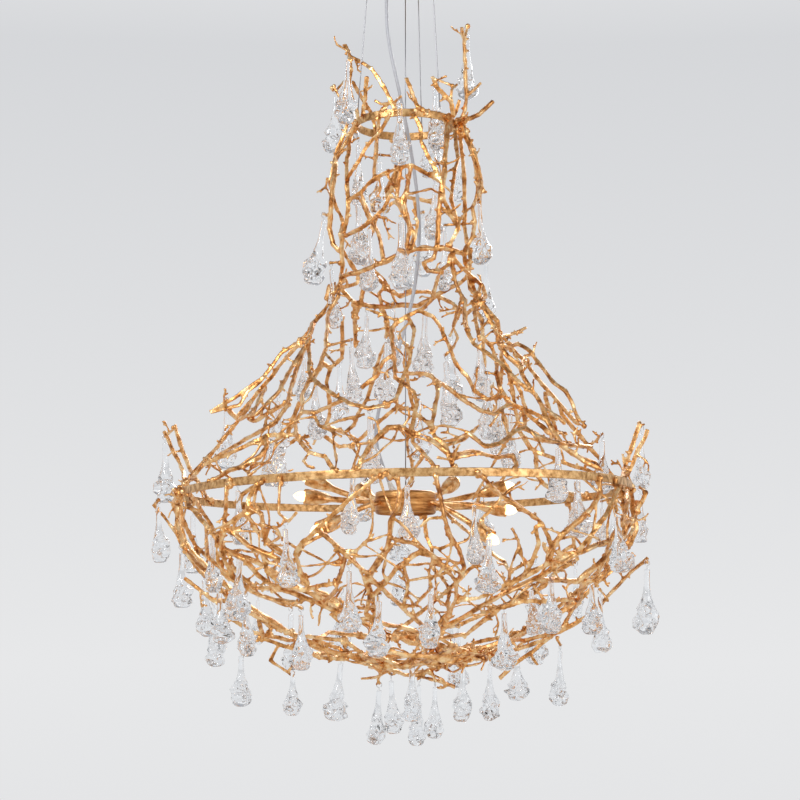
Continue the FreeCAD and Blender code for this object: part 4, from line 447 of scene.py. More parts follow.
def connected(mesh):
    # The corners of a mesh, in groups that hang together
    seen = set()
    groups = []
    for start in mesh.verts:
        if start in seen:
            continue
        seen.add(start)
        stack = [start]
        group = []
        while stack:
            vert = stack.pop()
            group.append(vert)
            for edge in vert.link_edges:
                other = edge.other_vert(vert)
                if other not in seen:
                    seen.add(other)
                    stack.append(other)
        groups.append(group)
    return groups


def islands(node):
    # The corner points of each separate solid of a node
    mesh = welded(node)
    found = [[vert.co.copy() for vert in group] for group in connected(mesh)]
    mesh.free()
    return found


def node_mesh(node):
    source = nodes[node].data
    return [vert.co.copy() for vert in source.vertices], [tuple(face.vertices) for face in source.polygons]


def tree_of(names):
    # Search tree over the faces of nodes
    return BVHTree.FromPolygons(*joined([node_mesh(name) for name in names]))


def middle(points):
    return sum(points, Vector()) / len(points)


def mean_radius(ring):
    centre = middle(ring)
    return sum((point - centre).length for point in ring) / len(ring)


def nearest_group(groups, spot):
    return min(groups, key=lambda points: (middle(points) - spot).length)


def reach(points, origin, along):
    # How far back and forward the points reach along a direction
    steps = [(point - origin).dot(along) for point in points]
    return min(steps), max(steps)


def ends_of(points, most=math.inf):
    # The middles of the corners at a long piece's two ends
    centre = middle(points)
    far = max(points, key=lambda point: (point - centre).length)
    other = max(points, key=lambda point: (point - far).length)
    run = (other - far).normalized()
    spread = sorted(points, key=lambda point: (point - far).dot(run))
    count = min(most, len(points) // 2)
    return middle(spread[:count]), middle(spread[-count:])


def upright_ends(points):
    return sorted(ends_of(points), key=lambda point: -point.z)


def nearest_on(line, point):
    a, b = line
    run = b - a
    share = max(0.0, min(1.0, (point - a).dot(run) / run.dot(run)))
    return a + run * share


# Materials

def shader_material(name):
    material = bpy.data.materials.new(name)
    material.use_nodes = True
    tree = material.node_tree
    return material, tree, tree.nodes["Principled BSDF"]


def add_noise(tree, frequency, detail, roughness=0.55, stretch=None):
    spot = tree.nodes.new("ShaderNodeTexCoord").outputs["Object"]
    texture = tree.nodes.new("ShaderNodeTexNoise")
    texture.inputs["Scale"].default_value = frequency
    texture.inputs["Detail"].default_value = detail
    texture.inputs["Roughness"].default_value = roughness
    if stretch:
        mapping = tree.nodes.new("ShaderNodeMapping")
        mapping.inputs["Scale"].default_value = stretch
        tree.links.new(spot, mapping.inputs["Vector"])
        spot = mapping.outputs["Vector"]
    tree.links.new(spot, texture.inputs["Vector"])
    return texture.outputs["Fac"]


def add_ramp(tree, value, stops):
    ramp = tree.nodes.new("ShaderNodeValToRGB")
    band = ramp.color_ramp
    while len(band.elements) < len(stops):
        band.elements.new(0.5)
    for element, (position, colour) in zip(band.elements, stops):
        element.position = position
        element.color = (*colour, 1.0)
    tree.links.new(value, ramp.inputs["Fac"])
    return ramp.outputs["Color"]


def add_range(tree, value, low, high):
    scale = tree.nodes.new("ShaderNodeMapRange")
    scale.inputs["To Min"].default_value = low
    scale.inputs["To Max"].default_value = high
    tree.links.new(value, scale.inputs["Value"])
    return scale.outputs["Result"]


def add_bump(tree, shader, value, strength, distance):
    bump = tree.nodes.new("ShaderNodeBump")
    bump.inputs["Strength"].default_value = strength
    bump.inputs["Distance"].default_value = distance
    tree.links.new(value, bump.inputs["Height"])
    tree.links.new(bump.outputs["Normal"], shader.inputs["Normal"])


def gold(name, dark_mottle_and_painted_shade, mid, bright_mottle_and_painted_highlight, rough, grain, stretch=None, patch=55.0):
    # Gold in random patches of three shades: the dark and bright ones are partly mottled tone and partly painted
    # shade and painted highlight; smoother where it is bright, with a fine grain
    material, tree, shader = shader_material(name)
    patches = add_noise(tree, patch, 6.0, 0.6, stretch)
    colour = add_ramp(tree, patches, list(zip(GOLD_STOPS, (dark_mottle_and_painted_shade, mid, bright_mottle_and_painted_highlight))))
    tree.links.new(colour, shader.inputs["Base Color"])
    shader.inputs["Metallic"].default_value = 1.0
    tree.links.new(add_range(tree, patches, rough[1], rough[0]), shader.inputs["Roughness"])
    fine = add_noise(tree, grain, 5.0, 0.65, stretch)
    add_bump(tree, shader, fine, GOLD_GRAIN_STRENGTH, GOLD_GRAIN_HEIGHT)
    return material


def plain(name, colour, rough, metallic, grain, depth):
    # One colour with slight patches and a fine grain
    material, tree, shader = shader_material(name)
    patches = add_noise(tree, grain, 3.0)
    shade = tuple(channel * PLAIN_SHADE for channel in colour)
    colours = add_ramp(tree, patches, list(zip(PLAIN_STOPS, (shade, colour))))
    tree.links.new(colours, shader.inputs["Base Color"])
    shader.inputs["Metallic"].default_value = metallic
    roughness = add_range(tree, patches, rough * PLAIN_ROUGHNESS[0], rough * PLAIN_ROUGHNESS[1])
    tree.links.new(roughness, shader.inputs["Roughness"])
    add_bump(tree, shader, patches, PLAIN_GRAIN_STRENGTH, depth)
    return material


def crystal(name, frequency, strength, depth):
    # Clear glass with a rippled face
    material, tree, shader = shader_material(name)
    shader.inputs["Base Color"].default_value = (*CRYSTAL_COLOUR, 1.0)
    shader.inputs["Transmission Weight"].default_value = 1.0
    shader.inputs["IOR"].default_value = CRYSTAL_IOR
    shader.inputs["Roughness"].default_value = CRYSTAL_ROUGHNESS
    add_bump(tree, shader, add_noise(tree, frequency, 3.0, 0.5), strength, depth)
    return material


def lit_bulb(name):
    material, tree, shader = shader_material(name)
    shader.inputs["Base Color"].default_value = (*BULB_COLOUR, 1.0)
    shader.inputs["Roughness"].default_value = 0.3
    glow = add_ramp(tree, add_noise(tree, 60.0, 2.0), BULB_GLOW)
    tree.links.new(glow, shader.inputs["Emission Color"])
    shader.inputs["Emission Strength"].default_value = BULB_STRENGTH
    return material


# Each gold's first three colours: a dark tone that is partly painted shade, a mid tone, and a bright tone that is
# partly a painted highlight
BARK = gold("aged_gold_bark_painted_light", (0.33, 0.12, 0.032), (0.79, 0.39, 0.13), (0.98, 0.70, 0.38), (0.24, 0.42), 200.0)
BAND = gold("aged_gold_band_painted_light", (0.30, 0.145, 0.05), (0.58, 0.32, 0.125), (0.82, 0.53, 0.25), (0.30, 0.5), 220.0,
            patch=95.0)
DRUM = gold("aged_gold_drum_painted_light", (0.24, 0.09, 0.024), (0.52, 0.24, 0.075), (0.76, 0.42, 0.16), (0.26, 0.46), 60.0,
            (1.0, 1.0, 9.0), 16.0)
GLASS = crystal("ruffled_crystal", 75.0, 0.35, 0.0024)
NECK_GLASS = crystal("drawn_crystal", 90.0, 0.3, 0.0010)
STEEL = plain("satin_steel", (0.62, 0.62, 0.63), 0.28, 1.0, 700.0, 0.00005)
WIRE = plain("drawn_steel_wire", (0.36, 0.36, 0.38), 0.30, 1.0, 700.0, 0.00005)
PAINT = plain("canopy_satin", (0.50, 0.36, 0.18), 0.34, 0.85, 240.0, 0.00008)
SHEATH = plain("cord_sheath", (0.50, 0.515, 0.56), 0.36, 0.0, 300.0, 0.00005)
PLASTIC = plain("moulded_white", (0.85, 0.84, 0.80), 0.4, 0.0, 500.0, 0.00006)
CERAMIC = plain("socket_ceramic", (0.90, 0.88, 0.82), 0.3, 0.0, 500.0, 0.00006)
BULB = lit_bulb("lit_bulb")


# Camera

def camera():
    data = bpy.data.cameras.new("camera")
    data.lens = LENS_MM
    data.sensor_width = SENSOR_MM
    data.clip_end = CAMERA_REACH
    obj = bpy.data.objects.new("camera", data)
    obj.location = CAMERA_PLACE
    obj.rotation_euler = (math.radians(90 + CAMERA_PITCH_DEGREES), 0.0, math.radians(CAMERA_YAW_DEGREES))
    bpy.context.scene.collection.objects.link(obj)
    bpy.context.scene.camera = obj


# Cord

def power_cord():
    data = bpy.data.curves.new("power_cord_sheath", "CURVE")
    data.dimensions = "3D"
    data.bevel_depth = CORD_DIAMETER / 2
    data.bevel_resolution = 4
    data.resolution_u = 16
    data.use_fill_caps = True
    spline = data.splines.new("NURBS")
    spline.points.add(len(CORD_POINTS) - 1)
    for point, co in zip(spline.points, CORD_POINTS):
        point.co = (*co, 1.0)
    spline.order_u = 3
    spline.use_endpoint_u = True
    obj = bpy.data.objects.new("power_cord_sheath", data)
    bpy.context.scene.collection.objects.link(obj)
    place(obj, SHEATH, "power_cord")
    return obj


# Branches

def near_random(dice, direction, spread):
    return (direction + Vector([dice.uniform(-spread, spread) for _ in range(3)])).normalized()


def blunt(path, radius):
    # A twig with a slight taper, a knot at its end and a rounded tip
    tip = path[-1]
    last = (tip - path[-2]).normalized()
    points = path[:-1] + [tip - last * radius * back for back, _ in TWIG_KNOT]
    shares = [TWIG_ROOT] + [TWIG_RUN] * (len(path) - 2) + [share for _, share in TWIG_KNOT]
    return sweep(points, [radius * share for share in shares], TWIG_SIDES)


def stub(dice, base, out, along, length):
    lean = near_random(dice, out + along * dice.uniform(-STUB_SLANT, STUB_SLANT), STUB_SPREAD)
    path = [base - out * STUB_RADIUS * STUB_DEPTH, base + lean * length]
    return path[1:], blunt(path, STUB_RADIUS)


def sprig(dice, base, out, along, length):
    lean = near_random(dice, out + along * dice.uniform(-SPRIG_SLANT, SPRIG_SLANT), SPRIG_SPREAD)
    turn = near_random(dice, lean, SPRIG_BEND)
    last = near_random(dice, turn, SPRIG_BEND)
    start = base - out * SPRIG_RADIUS * SPRIG_DEPTH
    knee = base + lean * length * SPRIG_RUNS[0]
    bend = knee + turn * length * SPRIG_RUNS[1]
    tip = bend + last * length * SPRIG_RUNS[2]
    parts = [blunt([start, knee, bend, tip], SPRIG_RADIUS)]
    ends = [knee, bend, tip]
    for root, direction in ((knee, turn), (bend, last))[:dice.choice(FORK_COUNTS)]:
        side = direction.cross(near_random(dice, lean, FORK_SPREAD)).normalized()
        end = root + (side + direction * FORK_SLANT).normalized() * length * dice.uniform(*FORK_LENGTHS)
        ends.append(end)
        parts.append(blunt([root, end], SPRIG_RADIUS * FORK_THICKNESS))
    return ends, joined(parts)


def shoot(dice, start, end):
    run = end - start
    side = run.cross(near_random(dice, Vector((0, 0, 0)), 1.0)).normalized()
    bow = run.length * dice.uniform(*SHOOT_BOWS)
    path = [start]
    for share, lift in SHOOT_BENDS:
        along = share + dice.uniform(-SHOOT_STRAY, SHOOT_STRAY)
        path.append(start + run * along + side * bow * (lift + dice.uniform(-BOW_STRAY, BOW_STRAY)))
    path.append(end)
    smooth = curve_through(path, SHOOT_STEPS)
    return smooth[1:-1], sweep(smooth, [SHOOT_RADIUS * dice.uniform(*SHOOT_THICKNESS) for _ in smooth], TWIG_SIDES)


def has_room(points, keep_off, clearance):
    # Inside the lamp's box, clear of the glass, the lamps, the hub and the cord, and out of the openings
    low, high = cad_box
    for point in points:
        if not all(low[k] + BOX_MARGIN < point[k] < high[k] - BOX_MARGIN for k in range(3)):
            return False
        if keep_off.find_nearest(point, clearance)[0] is not None:
            return False
        if any(all(a[k] < point[k] < b[k] for k in range(3)) for a, b in OPENINGS):
            return False
    return True


def side_twigs(dice, mesh, keep_off):
    # Stubs and sprigs on the sharp edges, and one spot for each edge on which a shoot may end
    parts = []
    spots = []
    for edge in mesh.edges:
        if len(edge.link_faces) != 2 or edge.calc_face_angle(0.0) < SHARP_EDGE_ANGLE:
            continue
        a, b = (vert.co for vert in edge.verts)
        length = (b - a).length
        if length < SHORTEST_GROWTH_RUN:
            continue
        along = (b - a).normalized()
        out = (edge.link_faces[0].normal + edge.link_faces[1].normal).normalized()
        spots.append(a.lerp(b, dice.uniform(*SHOOT_PLACES)) - out * SHOOT_RADIUS * SHOOT_DEPTH)
        chance = length / GROWTH_SPACING / EDGES_OF_A_BAR
        while dice.random() < chance:
            chance -= 1.0
            spot = a.lerp(b, dice.uniform(*GROWTH_PLACES))
            if dice.random() < SPRIG_CHANCE:
                ends, part = sprig(dice, spot, out, along, dice.uniform(*SPRIG_LENGTHS))
                if has_room(ends, keep_off, GROWTH_CLEARANCE):
                    parts.append(part)
                    continue
            ends, part = stub(dice, spot, out, along, dice.uniform(*STUB_LENGTHS))
            if has_room(ends, keep_off, GROWTH_CLEARANCE * STUB_CLEARANCE):
                parts.append(part)
    return parts, spots


def shoots(dice, spots, count, keep_off):
    parts = []
    tries = 0
    while len(parts) < count and tries < SHOOT_TRIES:
        tries += 1
        start, end = dice.choice(spots), dice.choice(spots)
        if not SHOOT_SPANS[0] < (end - start).length < SHOOT_SPANS[1]:
            continue
        path, part = shoot(dice, start, end)
        if has_room(path, keep_off, GROWTH_CLEARANCE * SHOOT_CLEARANCE):
            parts.append(part)
    return parts


def knuckles(mesh, keep_off, others):
    parts = []
    placed = []
    for vert in mesh.verts:
        hit = others.find_nearest(vert.co, KNUCKLE_REACH)[0]
        if hit is None or any((vert.co - spot).length < KNUCKLE_SPACING for spot in placed):
            continue
        placed.append(vert.co.copy())
        beside_glass = keep_off.find_nearest(vert.co, SWING_SPACE)[0] is not None
        radius = KNUCKLE_RADIUS * (SLIM_KNUCKLE_SHARE if beside_glass else 1.0)
        outline = [(radius * along, radius * wide) for along, wide in KNUCKLE_OUTLINE]
        parts.append(lathe(vert.co - vert.normal * radius * KNUCKLE_DEPTH, UP, outline, KNUCKLE_SIDES))
    return parts


def growth(node, keep_off, others):
    # All that grows on one node's branches
    dice = random.Random(node)
    mesh = welded(node)
    mesh.normal_update()
    parts, spots = side_twigs(dice, mesh, keep_off)
    parts += shoots(dice, spots, SHOOTS.get(node, 0), keep_off)
    parts += knuckles(mesh, keep_off, others)
    mesh.free()
    return parts


def sweep_crumbs(mesh):
    # Crumbs that hang on nothing are taken away
    whole = bmesh.new()
    whole.from_mesh(mesh)
    crumbs = []
    for group in connected(whole):
        start = group[0].co
        if max((vert.co - start).length for vert in group) < CRUMB_SIZE:
            crumbs.extend(group)
    bmesh.ops.delete(whole, geom=crumbs, context="VERTS")
    whole.to_mesh(mesh)
    whole.free()


def wrinkle(mesh, bend):
    # Wandering bends, swellings along the branches and bark grain
    moved = []
    for vert in mesh.vertices:
        lump = noise.noise(vert.co * LUMP_FREQUENCY)
        grain = noise.noise(vert.co * GRAIN_FREQUENCY)
        spot = vert.co + vert.normal * (SWELL + LUMP_HEIGHT * lump + GRAIN_HEIGHT * grain)
        spot += noise.noise_vector(vert.co * BEND_FREQUENCY) * bend
        moved.extend(in_box(spot))
    mesh.vertices.foreach_set("co", moved)
    mesh.update()


def barked(node, keep_off, others):
    # One node's branches, grown together with their twigs and covered in bark
    points, faces = joined([node_mesh(node)] + growth(node, keep_off, others))
    piece = make_object("bark_" + node, points, faces)
    remesh = piece.modifiers.new("remesh", "REMESH")
    remesh.mode = "VOXEL"
    remesh.voxel_size = VOXEL
    smooth = piece.modifiers.new("smooth", "SMOOTH")
    smooth.factor = SMOOTH_FACTOR
    smooth.iterations = SMOOTH_ROUNDS
    graph = bpy.context.evaluated_depsgraph_get()
    mesh = bpy.data.meshes.new_from_object(piece.evaluated_get(graph))
    piece.modifiers.clear()
    piece.data = mesh
    mesh.name = "bark_" + node
    sweep_crumbs(mesh)
    wrinkle(mesh, BEND_REACH if node.startswith("branches_") else 0.0)
    mesh.polygons.foreach_set("use_smooth", [True] * len(mesh.polygons))
    place(piece, BARK, node)


def branches():
    noise.seed_set(BEND_SEED)
    cast = [name for name in nodes if name.startswith(("branches_", "hangers_"))]
    keep_off = tree_of([name for name in nodes if name.startswith(("drop_", "drops_", "lamp_", "power_", "hub_"))])
    for name in cast:
        others = tree_of([other for other in cast + ["main_ring", "crown_ring"] if other != name])
        barked(name, keep_off, others)


# Rings

def squared(value):
    return math.copysign(abs(value) ** BAND_SQUARENESS, value)


def band_ring(node, tilt_degrees, sides):
    # A ring of flat bar with a hammered face and soft edges
    low, high = box_of(node)
    centre = (low + high) / 2
    turn = Matrix.Rotation(math.radians(tilt_degrees), 3, "Y")
    flat = [turn.inverted() @ (vert.co - centre) for vert in nodes[node].data.vertices]
    half = max(point.z for point in flat)
    inner = min(math.hypot(point.x, point.y) for point in flat)
    outer = max(math.hypot(point.x, point.y) for point in flat)
    thick = (outer - inner) / 2
    mean = (outer + inner) / 2
    around, up, aside = HAMMER_FREQUENCIES
    rings = []
    for k in range(sides):
        angle = 2 * math.pi * k / sides
        ring = []
        for i in range(BAND_CORNERS):
            turned = 2 * math.pi * i / BAND_CORNERS
            side = squared(math.cos(turned))
            rise = squared(math.sin(turned))
            spot = Vector((angle * mean * around, rise * half * up, side * aside))
            dent = HAMMER_DEPTH * noise.noise(spot) + FINE_HAMMER_DEPTH * noise.noise(spot * FINE_HAMMER_FREQUENCY)
            wave = EDGE_WAVE * noise.noise(Vector((angle * mean * EDGE_WAVE_FREQUENCY, side * 2, rise)))
            wide = mean - BAND_INSET + side * (thick - BAND_THINNING + dent)
            height = rise * (half - BAND_LOWERING + wave)
            ring.append(centre + turn @ Vector((wide * math.cos(angle), wide * math.sin(angle), height)))
        rings.append(ring)
    place(make_object("band_" + node, *closed_skin(rings)), BAND, node)


# Hub and lamps

def drum():
    # The drum's streaked shell, open below, and its flat underside
    low, high = box_of("hub_body")
    radius = (high.x - low.x) / 2
    height = high.z - low.z
    wall = DRUM_WALL
    soft = DRUM_SOFTNESS
    outline = [(0.0, radius - wall), (0.0, radius - soft * 0.7), (soft * 0.3, radius - soft * 0.25), (soft, radius)]
    outline += [(soft + (height - 2 * soft) * k / DRUM_STEPS, radius) for k in range(1, DRUM_STEPS)]
    outline += [(height - soft, radius), (height - soft * 0.3, radius - soft * 0.25), (height, radius - soft),
                (height, radius * 0.5), (height, DRUM_BORE)]
    start = Vector((0, 0, low.z))
    rings = []
    for along, wide in outline:
        ring = []
        streaked = wide > radius * 0.9
        for k, point in enumerate(circle(start + UP * along, UP, wide, DRUM_SIDES)):
            angle = 2 * math.pi * k / DRUM_SIDES
            streak = noise.noise(Vector((math.cos(angle) * STREAK_FREQUENCY, math.sin(angle) * STREAK_FREQUENCY,
                                         along * STREAK_BAND_FREQUENCY)))
            ring.append(point - Vector((point.x, point.y, 0)) * (STREAK_SHARE * (STREAK_LEVEL + streak)) * streaked)
        rings.append(ring)
    inside = radius - wall * 1.4
    rings += [circle(start + UP * along, UP, wide, DRUM_SIDES)
              for along, wide in ((height - wall, DRUM_BORE), (height - wall, inside), (0.0, inside))]
    place(make_object("hub_drum", *skin(rings, capped=False)), DRUM, "hub_body")
    low, high = box_of("hub_cover")
    radius = (high.x - low.x) / 2 - UNDERSIDE_INSET
    outline = [(high.z - low.z, radius), (0.0012, radius), (0.0, radius - 0.0012), (0.0, radius * 0.62),
               (0.0008, radius * 0.60), (0.0008, 0.009), (0.0, 0.008), (0.0, 0.0006)]
    underside = lathe(Vector((0, 0, low.z)), UP, outline, UNDERSIDE_SIDES)
    place(make_object("hub_underside", *underside), DRUM, "hub_cover")


def bud(index, root, elbow, base, along, length):
    # One bark-covered arm that swells into a bud with an open mouth
    dice = random.Random(index)
    path = curve_through([root, elbow, base, base + along * length * 0.5, base + along * length], BUD_STEPS)
    total = len(path) - 1
    sides = BUD_SIDES
    radii = []
    for i in range(len(path)):
        share = i / total
        if share < 0.5:
            radii.append(ARM_RADIUS + ARM_GROWTH * share * 2)
        else:
            swell = min((share - 0.5) * 2 * BUD_SWELL_RATE, 1.0)
            radii.append(BUD_RADIUS + BUD_SWELL * math.sin(swell * math.pi / 2))
    points, faces = sweep(path, radii, sides)
    around, up, shift = RIDGE_FREQUENCIES
    for i in range(len(path)):
        share = i / total
        for k in range(sides):
            point = points[i * sides + k]
            out = (point - path[i]).normalized()
            angle = 2 * math.pi * k / sides
            ridge = noise.noise(Vector((math.cos(angle) * around, math.sin(angle) * around,
                                        share * up + index * shift)))
            height = RIDGE_HEIGHT * ridge + BUD_GRAIN_HEIGHT * noise.noise(point * GRAIN_FREQUENCY)
            points[i * sides + k] = point + out * height * (0.5 + share)
    last = total * sides
    lip = [point + along * dice.uniform(*LIP_WAVE) for point in points[last:]]
    points[last:] = lip
    mouth = path[-1]
    faces.pop()
    for depth, share in ((0.0, MOUTH_SHARE), (THROAT_DEPTH, THROAT_SHARE),
                         (length * BUD_FLOOR_SHARE, BUD_FLOOR_SHARE)):
        start = len(points)
        points.extend(mouth - along * depth + (point - mouth) * share for point in lip)
        for k in range(sides):
            j = (k + 1) % sides
            faces.append((last + k, last + j, start + j, start + k))
        last = start
    faces.append(tuple(last + k for k in range(sides)))
    return points, faces


def lamps():
    arms, sleeves, sockets = (islands(node) for node in ("lamp_arms", "lamp_sleeves", "lamp_sockets"))
    hub_low, hub_high = box_of("hub_body")
    hub_middle = Vector((0, 0, (hub_low.z + hub_high.z) / 2))
    hub_radius = (hub_high.x - hub_low.x) / 2
    rim = HOLDER_RADIUS
    waist = rim - HOLDER_GROOVE
    buds = []
    cups = []
    lights = []
    for index, bulb in enumerate(islands("lamp_bulbs")):
        socket = nearest_group(sockets, middle(bulb))
        origin = middle(socket)
        along = (middle(bulb) - origin).normalized()
        start, end = reach(nearest_group(sleeves, origin), origin, along)
        base = origin + along * start
        root = Vector((base.x, base.y, 0)).normalized() * (hub_radius - ARM_DEPTH) + hub_middle
        arm = middle(nearest_group(arms, origin))
        elbow = root.lerp(base, 0.5) * ELBOW_SHARES[0] + arm * ELBOW_SHARES[1]
        buds.append(bud(index, root, elbow, base, along, end - start))
        low, high = reach(socket, origin, along)
        span = high - low
        outline = [(0.0, rim), (0.004, rim), (0.005, waist), (span - 0.004, waist), (span - 0.003, rim),
                   (span, rim - 0.0006)]
        cups.append(lathe(origin + along * low, along, outline, LAMP_SIDES))
        low, high = reach(bulb, origin, along)
        outline = [((high - low) * share, wide) for share, wide in BULB_OUTLINE]
        lights.append(lathe(origin + along * low, along, outline, LAMP_SIDES))
    place(make_object("bud_arms_and_sleeves", *joined(buds)), BARK, "lamp_sleeves", "lamp_arms")
    place(make_object("bulb_holders", *joined(cups)), CERAMIC, "lamp_sockets")
    place(make_object("capsule_bulbs", *joined(lights)), BULB, "lamp_bulbs")


# Glass drops

def room_at(levels, reached):
    # The solid's half width at a distance below the neck's top
    for (above, first), (below, second) in zip(levels, levels[1:]):
        if reached <= below:
            return first + (second - first) * max(reached - above, 0.0) / (below - above)
    return levels[-1][1]


def glass_drop(seed, corners, swings):
    # A blown drop with a thin neck and a ruffled body, in the place of one solid
    order = sorted(corners, key=lambda point: point.z)
    solid = [order[k * SOLID_SIDES:(k + 1) * SOLID_SIDES] for k in range(3)]
    foot, neck = middle(solid[0]), middle(solid[2])
    axis = (foot - neck).normalized()
    length = (foot - neck).length / (1.0 - DROP_NECK_SHARE)
    top = foot - axis * length
    half = mean_radius(solid[1]) * HALF_WIDTH_SHARE
    levels = [((middle(ring) - top).length, mean_radius(ring)) for ring in reversed(solid)]
    dice = random.Random(seed)
    folds = dice.choice(FOLD_COUNTS)
    phase = dice.uniform(0, 2 * math.pi)
    twist = dice.uniform(*FOLD_TWISTS) * dice.choice((-1, 1))
    shift = Vector([dice.uniform(-RUFFLE_SHIFT, RUFFLE_SHIFT) for _ in range(3)])
    lean = dice.uniform(-DROP_LEAN, DROP_LEAN)
    square = dice.uniform(*SQUARE_FEET)
    lobes = [(dice.uniform(0, 2 * math.pi), dice.uniform(*LOBE_PLACES), dice.uniform(*LOBE_SHARES),
              dice.uniform(*LOBE_WIDTHS), dice.uniform(*LOBE_HEIGHTS)) for _ in range(dice.choice(LOBE_COUNTS))]
    first, second = across(axis)
    outline = [Vector((share, wide, 0)) for share, wide in DROP_PROFILE]
    rings = []
    for share, wide, _ in curve_through(outline, DROP_STEPS):
        body = unit((share - DROP_NECK_SHARE) / BODY_RISE) * unit((BODY_END - share) / BODY_FALL)
        if share > DROP_SHOULDER_SHARE:
            wide = wide ** square
        widest = min(half, SWING_ROOM * room_at(levels, share * length)) if swings else half
        core = 1.0 - body * (1.0 - DROP_CORE_SHARE)
        centre = top + axis * (length * share) + first * (lean * half * body)
        ring = []
        for k in range(DROP_SIDES):
            angle = 2 * math.pi * k / DROP_SIDES
            out = first * math.cos(angle) + second * math.sin(angle)
            spot = out * RUFFLE_SCALE + axis * (share * length / half) * RUFFLE_SCALE + shift
            swell = (FOLD_SHARE * math.cos(folds * angle + phase + share * twist)
                     + RUFFLE_SHARE * noise.noise(spot * RUFFLE_FREQUENCY)
                     + RIPPLE_SHARE * noise.noise(spot * RIPPLE_FREQUENCY))
            for turned, height, size, width, tall in lobes:
                aside = math.remainder(angle - turned, 2 * math.pi) / width
                swell += size * math.exp(-aside * aside - ((share - height) / tall) ** 2)
            ring.append(centre + out * min(half * wide * (core + body * swell), widest))
        rings.append(ring)
    return top, skin(rings)


def hook(top, pin_top, twig):
    # Fine wire from the neck up to a loop that hangs on its twig
    run = twig[1] - twig[0]
    flat = Vector((run.x, run.y, 0)).normalized()
    side = Vector((-flat.y, flat.x, 0))
    lowering = HOOK_RADIUS - HOOK_WIRE - HOOK_REST
    centre = Vector((pin_top.x, pin_top.y, nearest_on(twig, pin_top).z - lowering))
    path = [top - UP * HOOK_ROOT, top.lerp(centre, HOOK_KNEE_SHARE), centre - UP * (HOOK_RADIUS + HOOK_GAP)]
    for k in range(HOOK_STEPS + 1):
        angle = -math.pi / 2 + math.radians(HOOK_TURN_DEGREES) * k / HOOK_STEPS
        path.append(centre + (side * math.cos(angle) + UP * math.sin(angle)) * HOOK_RADIUS)
    return sweep(path, [HOOK_WIRE] * len(path), HOOK_SIDES)


def drops():
    twigs = [ends_of(points, TWIG_END_CORNERS) for node in ("hangers_lower", "hangers_upper")
             for points in islands(node)]
    per_drop = (len(DROP_PROFILE) - 1) * DROP_STEPS * DROP_SIDES + 2
    neck_faces = DROP_SIDES * DROP_STEPS * NECK_ROWS
    for node in [name for name in nodes if name.startswith(("drop_", "drops_"))]:
        bodies = []
        hooks = []
        for index, corners in enumerate(islands(node)):
            pin_top = middle(sorted(corners, key=lambda point: -point.z)[:PIN_CORNERS])
            top, part = glass_drop("%s %d" % (node, index), corners, node.startswith("drop_"))
            spot = pin_top + UP * TWIG_AXIS_LIFT
            twig = min(twigs, key=lambda line: (nearest_on(line, spot) - spot).length)
            bodies.append(part)
            hooks.append(hook(top, pin_top, twig))
        body = make_object("glass_" + node, *joined(bodies))
        place(body, GLASS, node)
        body.data.materials.append(NECK_GLASS)
        in_neck = [int(face.index % per_drop < neck_faces) for face in body.data.polygons]
        body.data.polygons.foreach_set("material_index", in_neck)
        wires = make_object("hook_" + node, *joined(hooks))
        wires.data.materials.append(STEEL)
        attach(wires, BODY_OF[node])


# Wires, fittings and canopy

def turned_pieces(node, name, material, outline, sides=24):
    # Each solid of a node as a turned piece; the outline is pairs of length share and radius share
    parts = []
    for points in islands(node):
        top, bottom = upright_ends(points)
        run = bottom - top
        axis = run.normalized()
        wide = max((point - top - axis * (point - top).dot(axis)).length for point in points)
        parts.append(lathe(top, axis, [(run.length * along, wide * share) for along, share in outline], sides))
    place(make_object(name, *joined(parts)), material, node)


def fittings():
    round_bar = [(0.0, 0.97), (0.25, 0.97), (0.5, 0.97), (0.75, 0.97), (1.0, 0.97)]
    turned_pieces("suspension_wires", "steel_wires", WIRE, round_bar, 12)
    turned_pieces("hub_wire", "steel_hub_wire", WIRE, round_bar, 12)
    crimp = [(0.0, 0.5), (0.03, 0.62), (0.2, 0.72), (0.24, 0.8), (0.28, 0.72), (0.5, 0.86), (0.55, 0.93),
             (0.6, 0.86), (0.9, 0.95), (0.97, 0.9), (1.0, 0.75)]
    turned_pieces("wire_ferrules", "crimped_ferrules", STEEL, crimp)
    knurl = [(0.0, 0.94), (0.1, 0.97), (0.14, 0.9), (0.2, 0.97), (0.26, 0.9), (0.32, 0.97), (0.38, 0.9),
             (0.44, 0.97), (0.9, 0.97), (0.97, 0.9), (1.0, 0.7)]
    turned_pieces("wire_anchors", "knurled_anchors", STEEL, knurl)
    gland = [(0.0, 0.9), (0.1, 0.95), (0.35, 0.95), (0.4, 0.85), (0.6, 0.85), (0.65, 0.95), (0.92, 0.95),
             (1.0, 0.8)]
    turned_pieces("cord_gland", "ceiling_cord_gland", PLASTIC, gland, 32)
    boot = [(0.0, 0.58), (0.12, 0.62), (0.16, 0.57), (0.28, 0.68), (0.32, 0.63), (0.46, 0.77), (0.5, 0.72),
            (0.66, 0.86), (0.72, 0.88), (0.95, 0.94), (1.0, 0.9)]
    turned_pieces("hub_gland", "hub_strain_relief", PLASTIC, boot, 32)


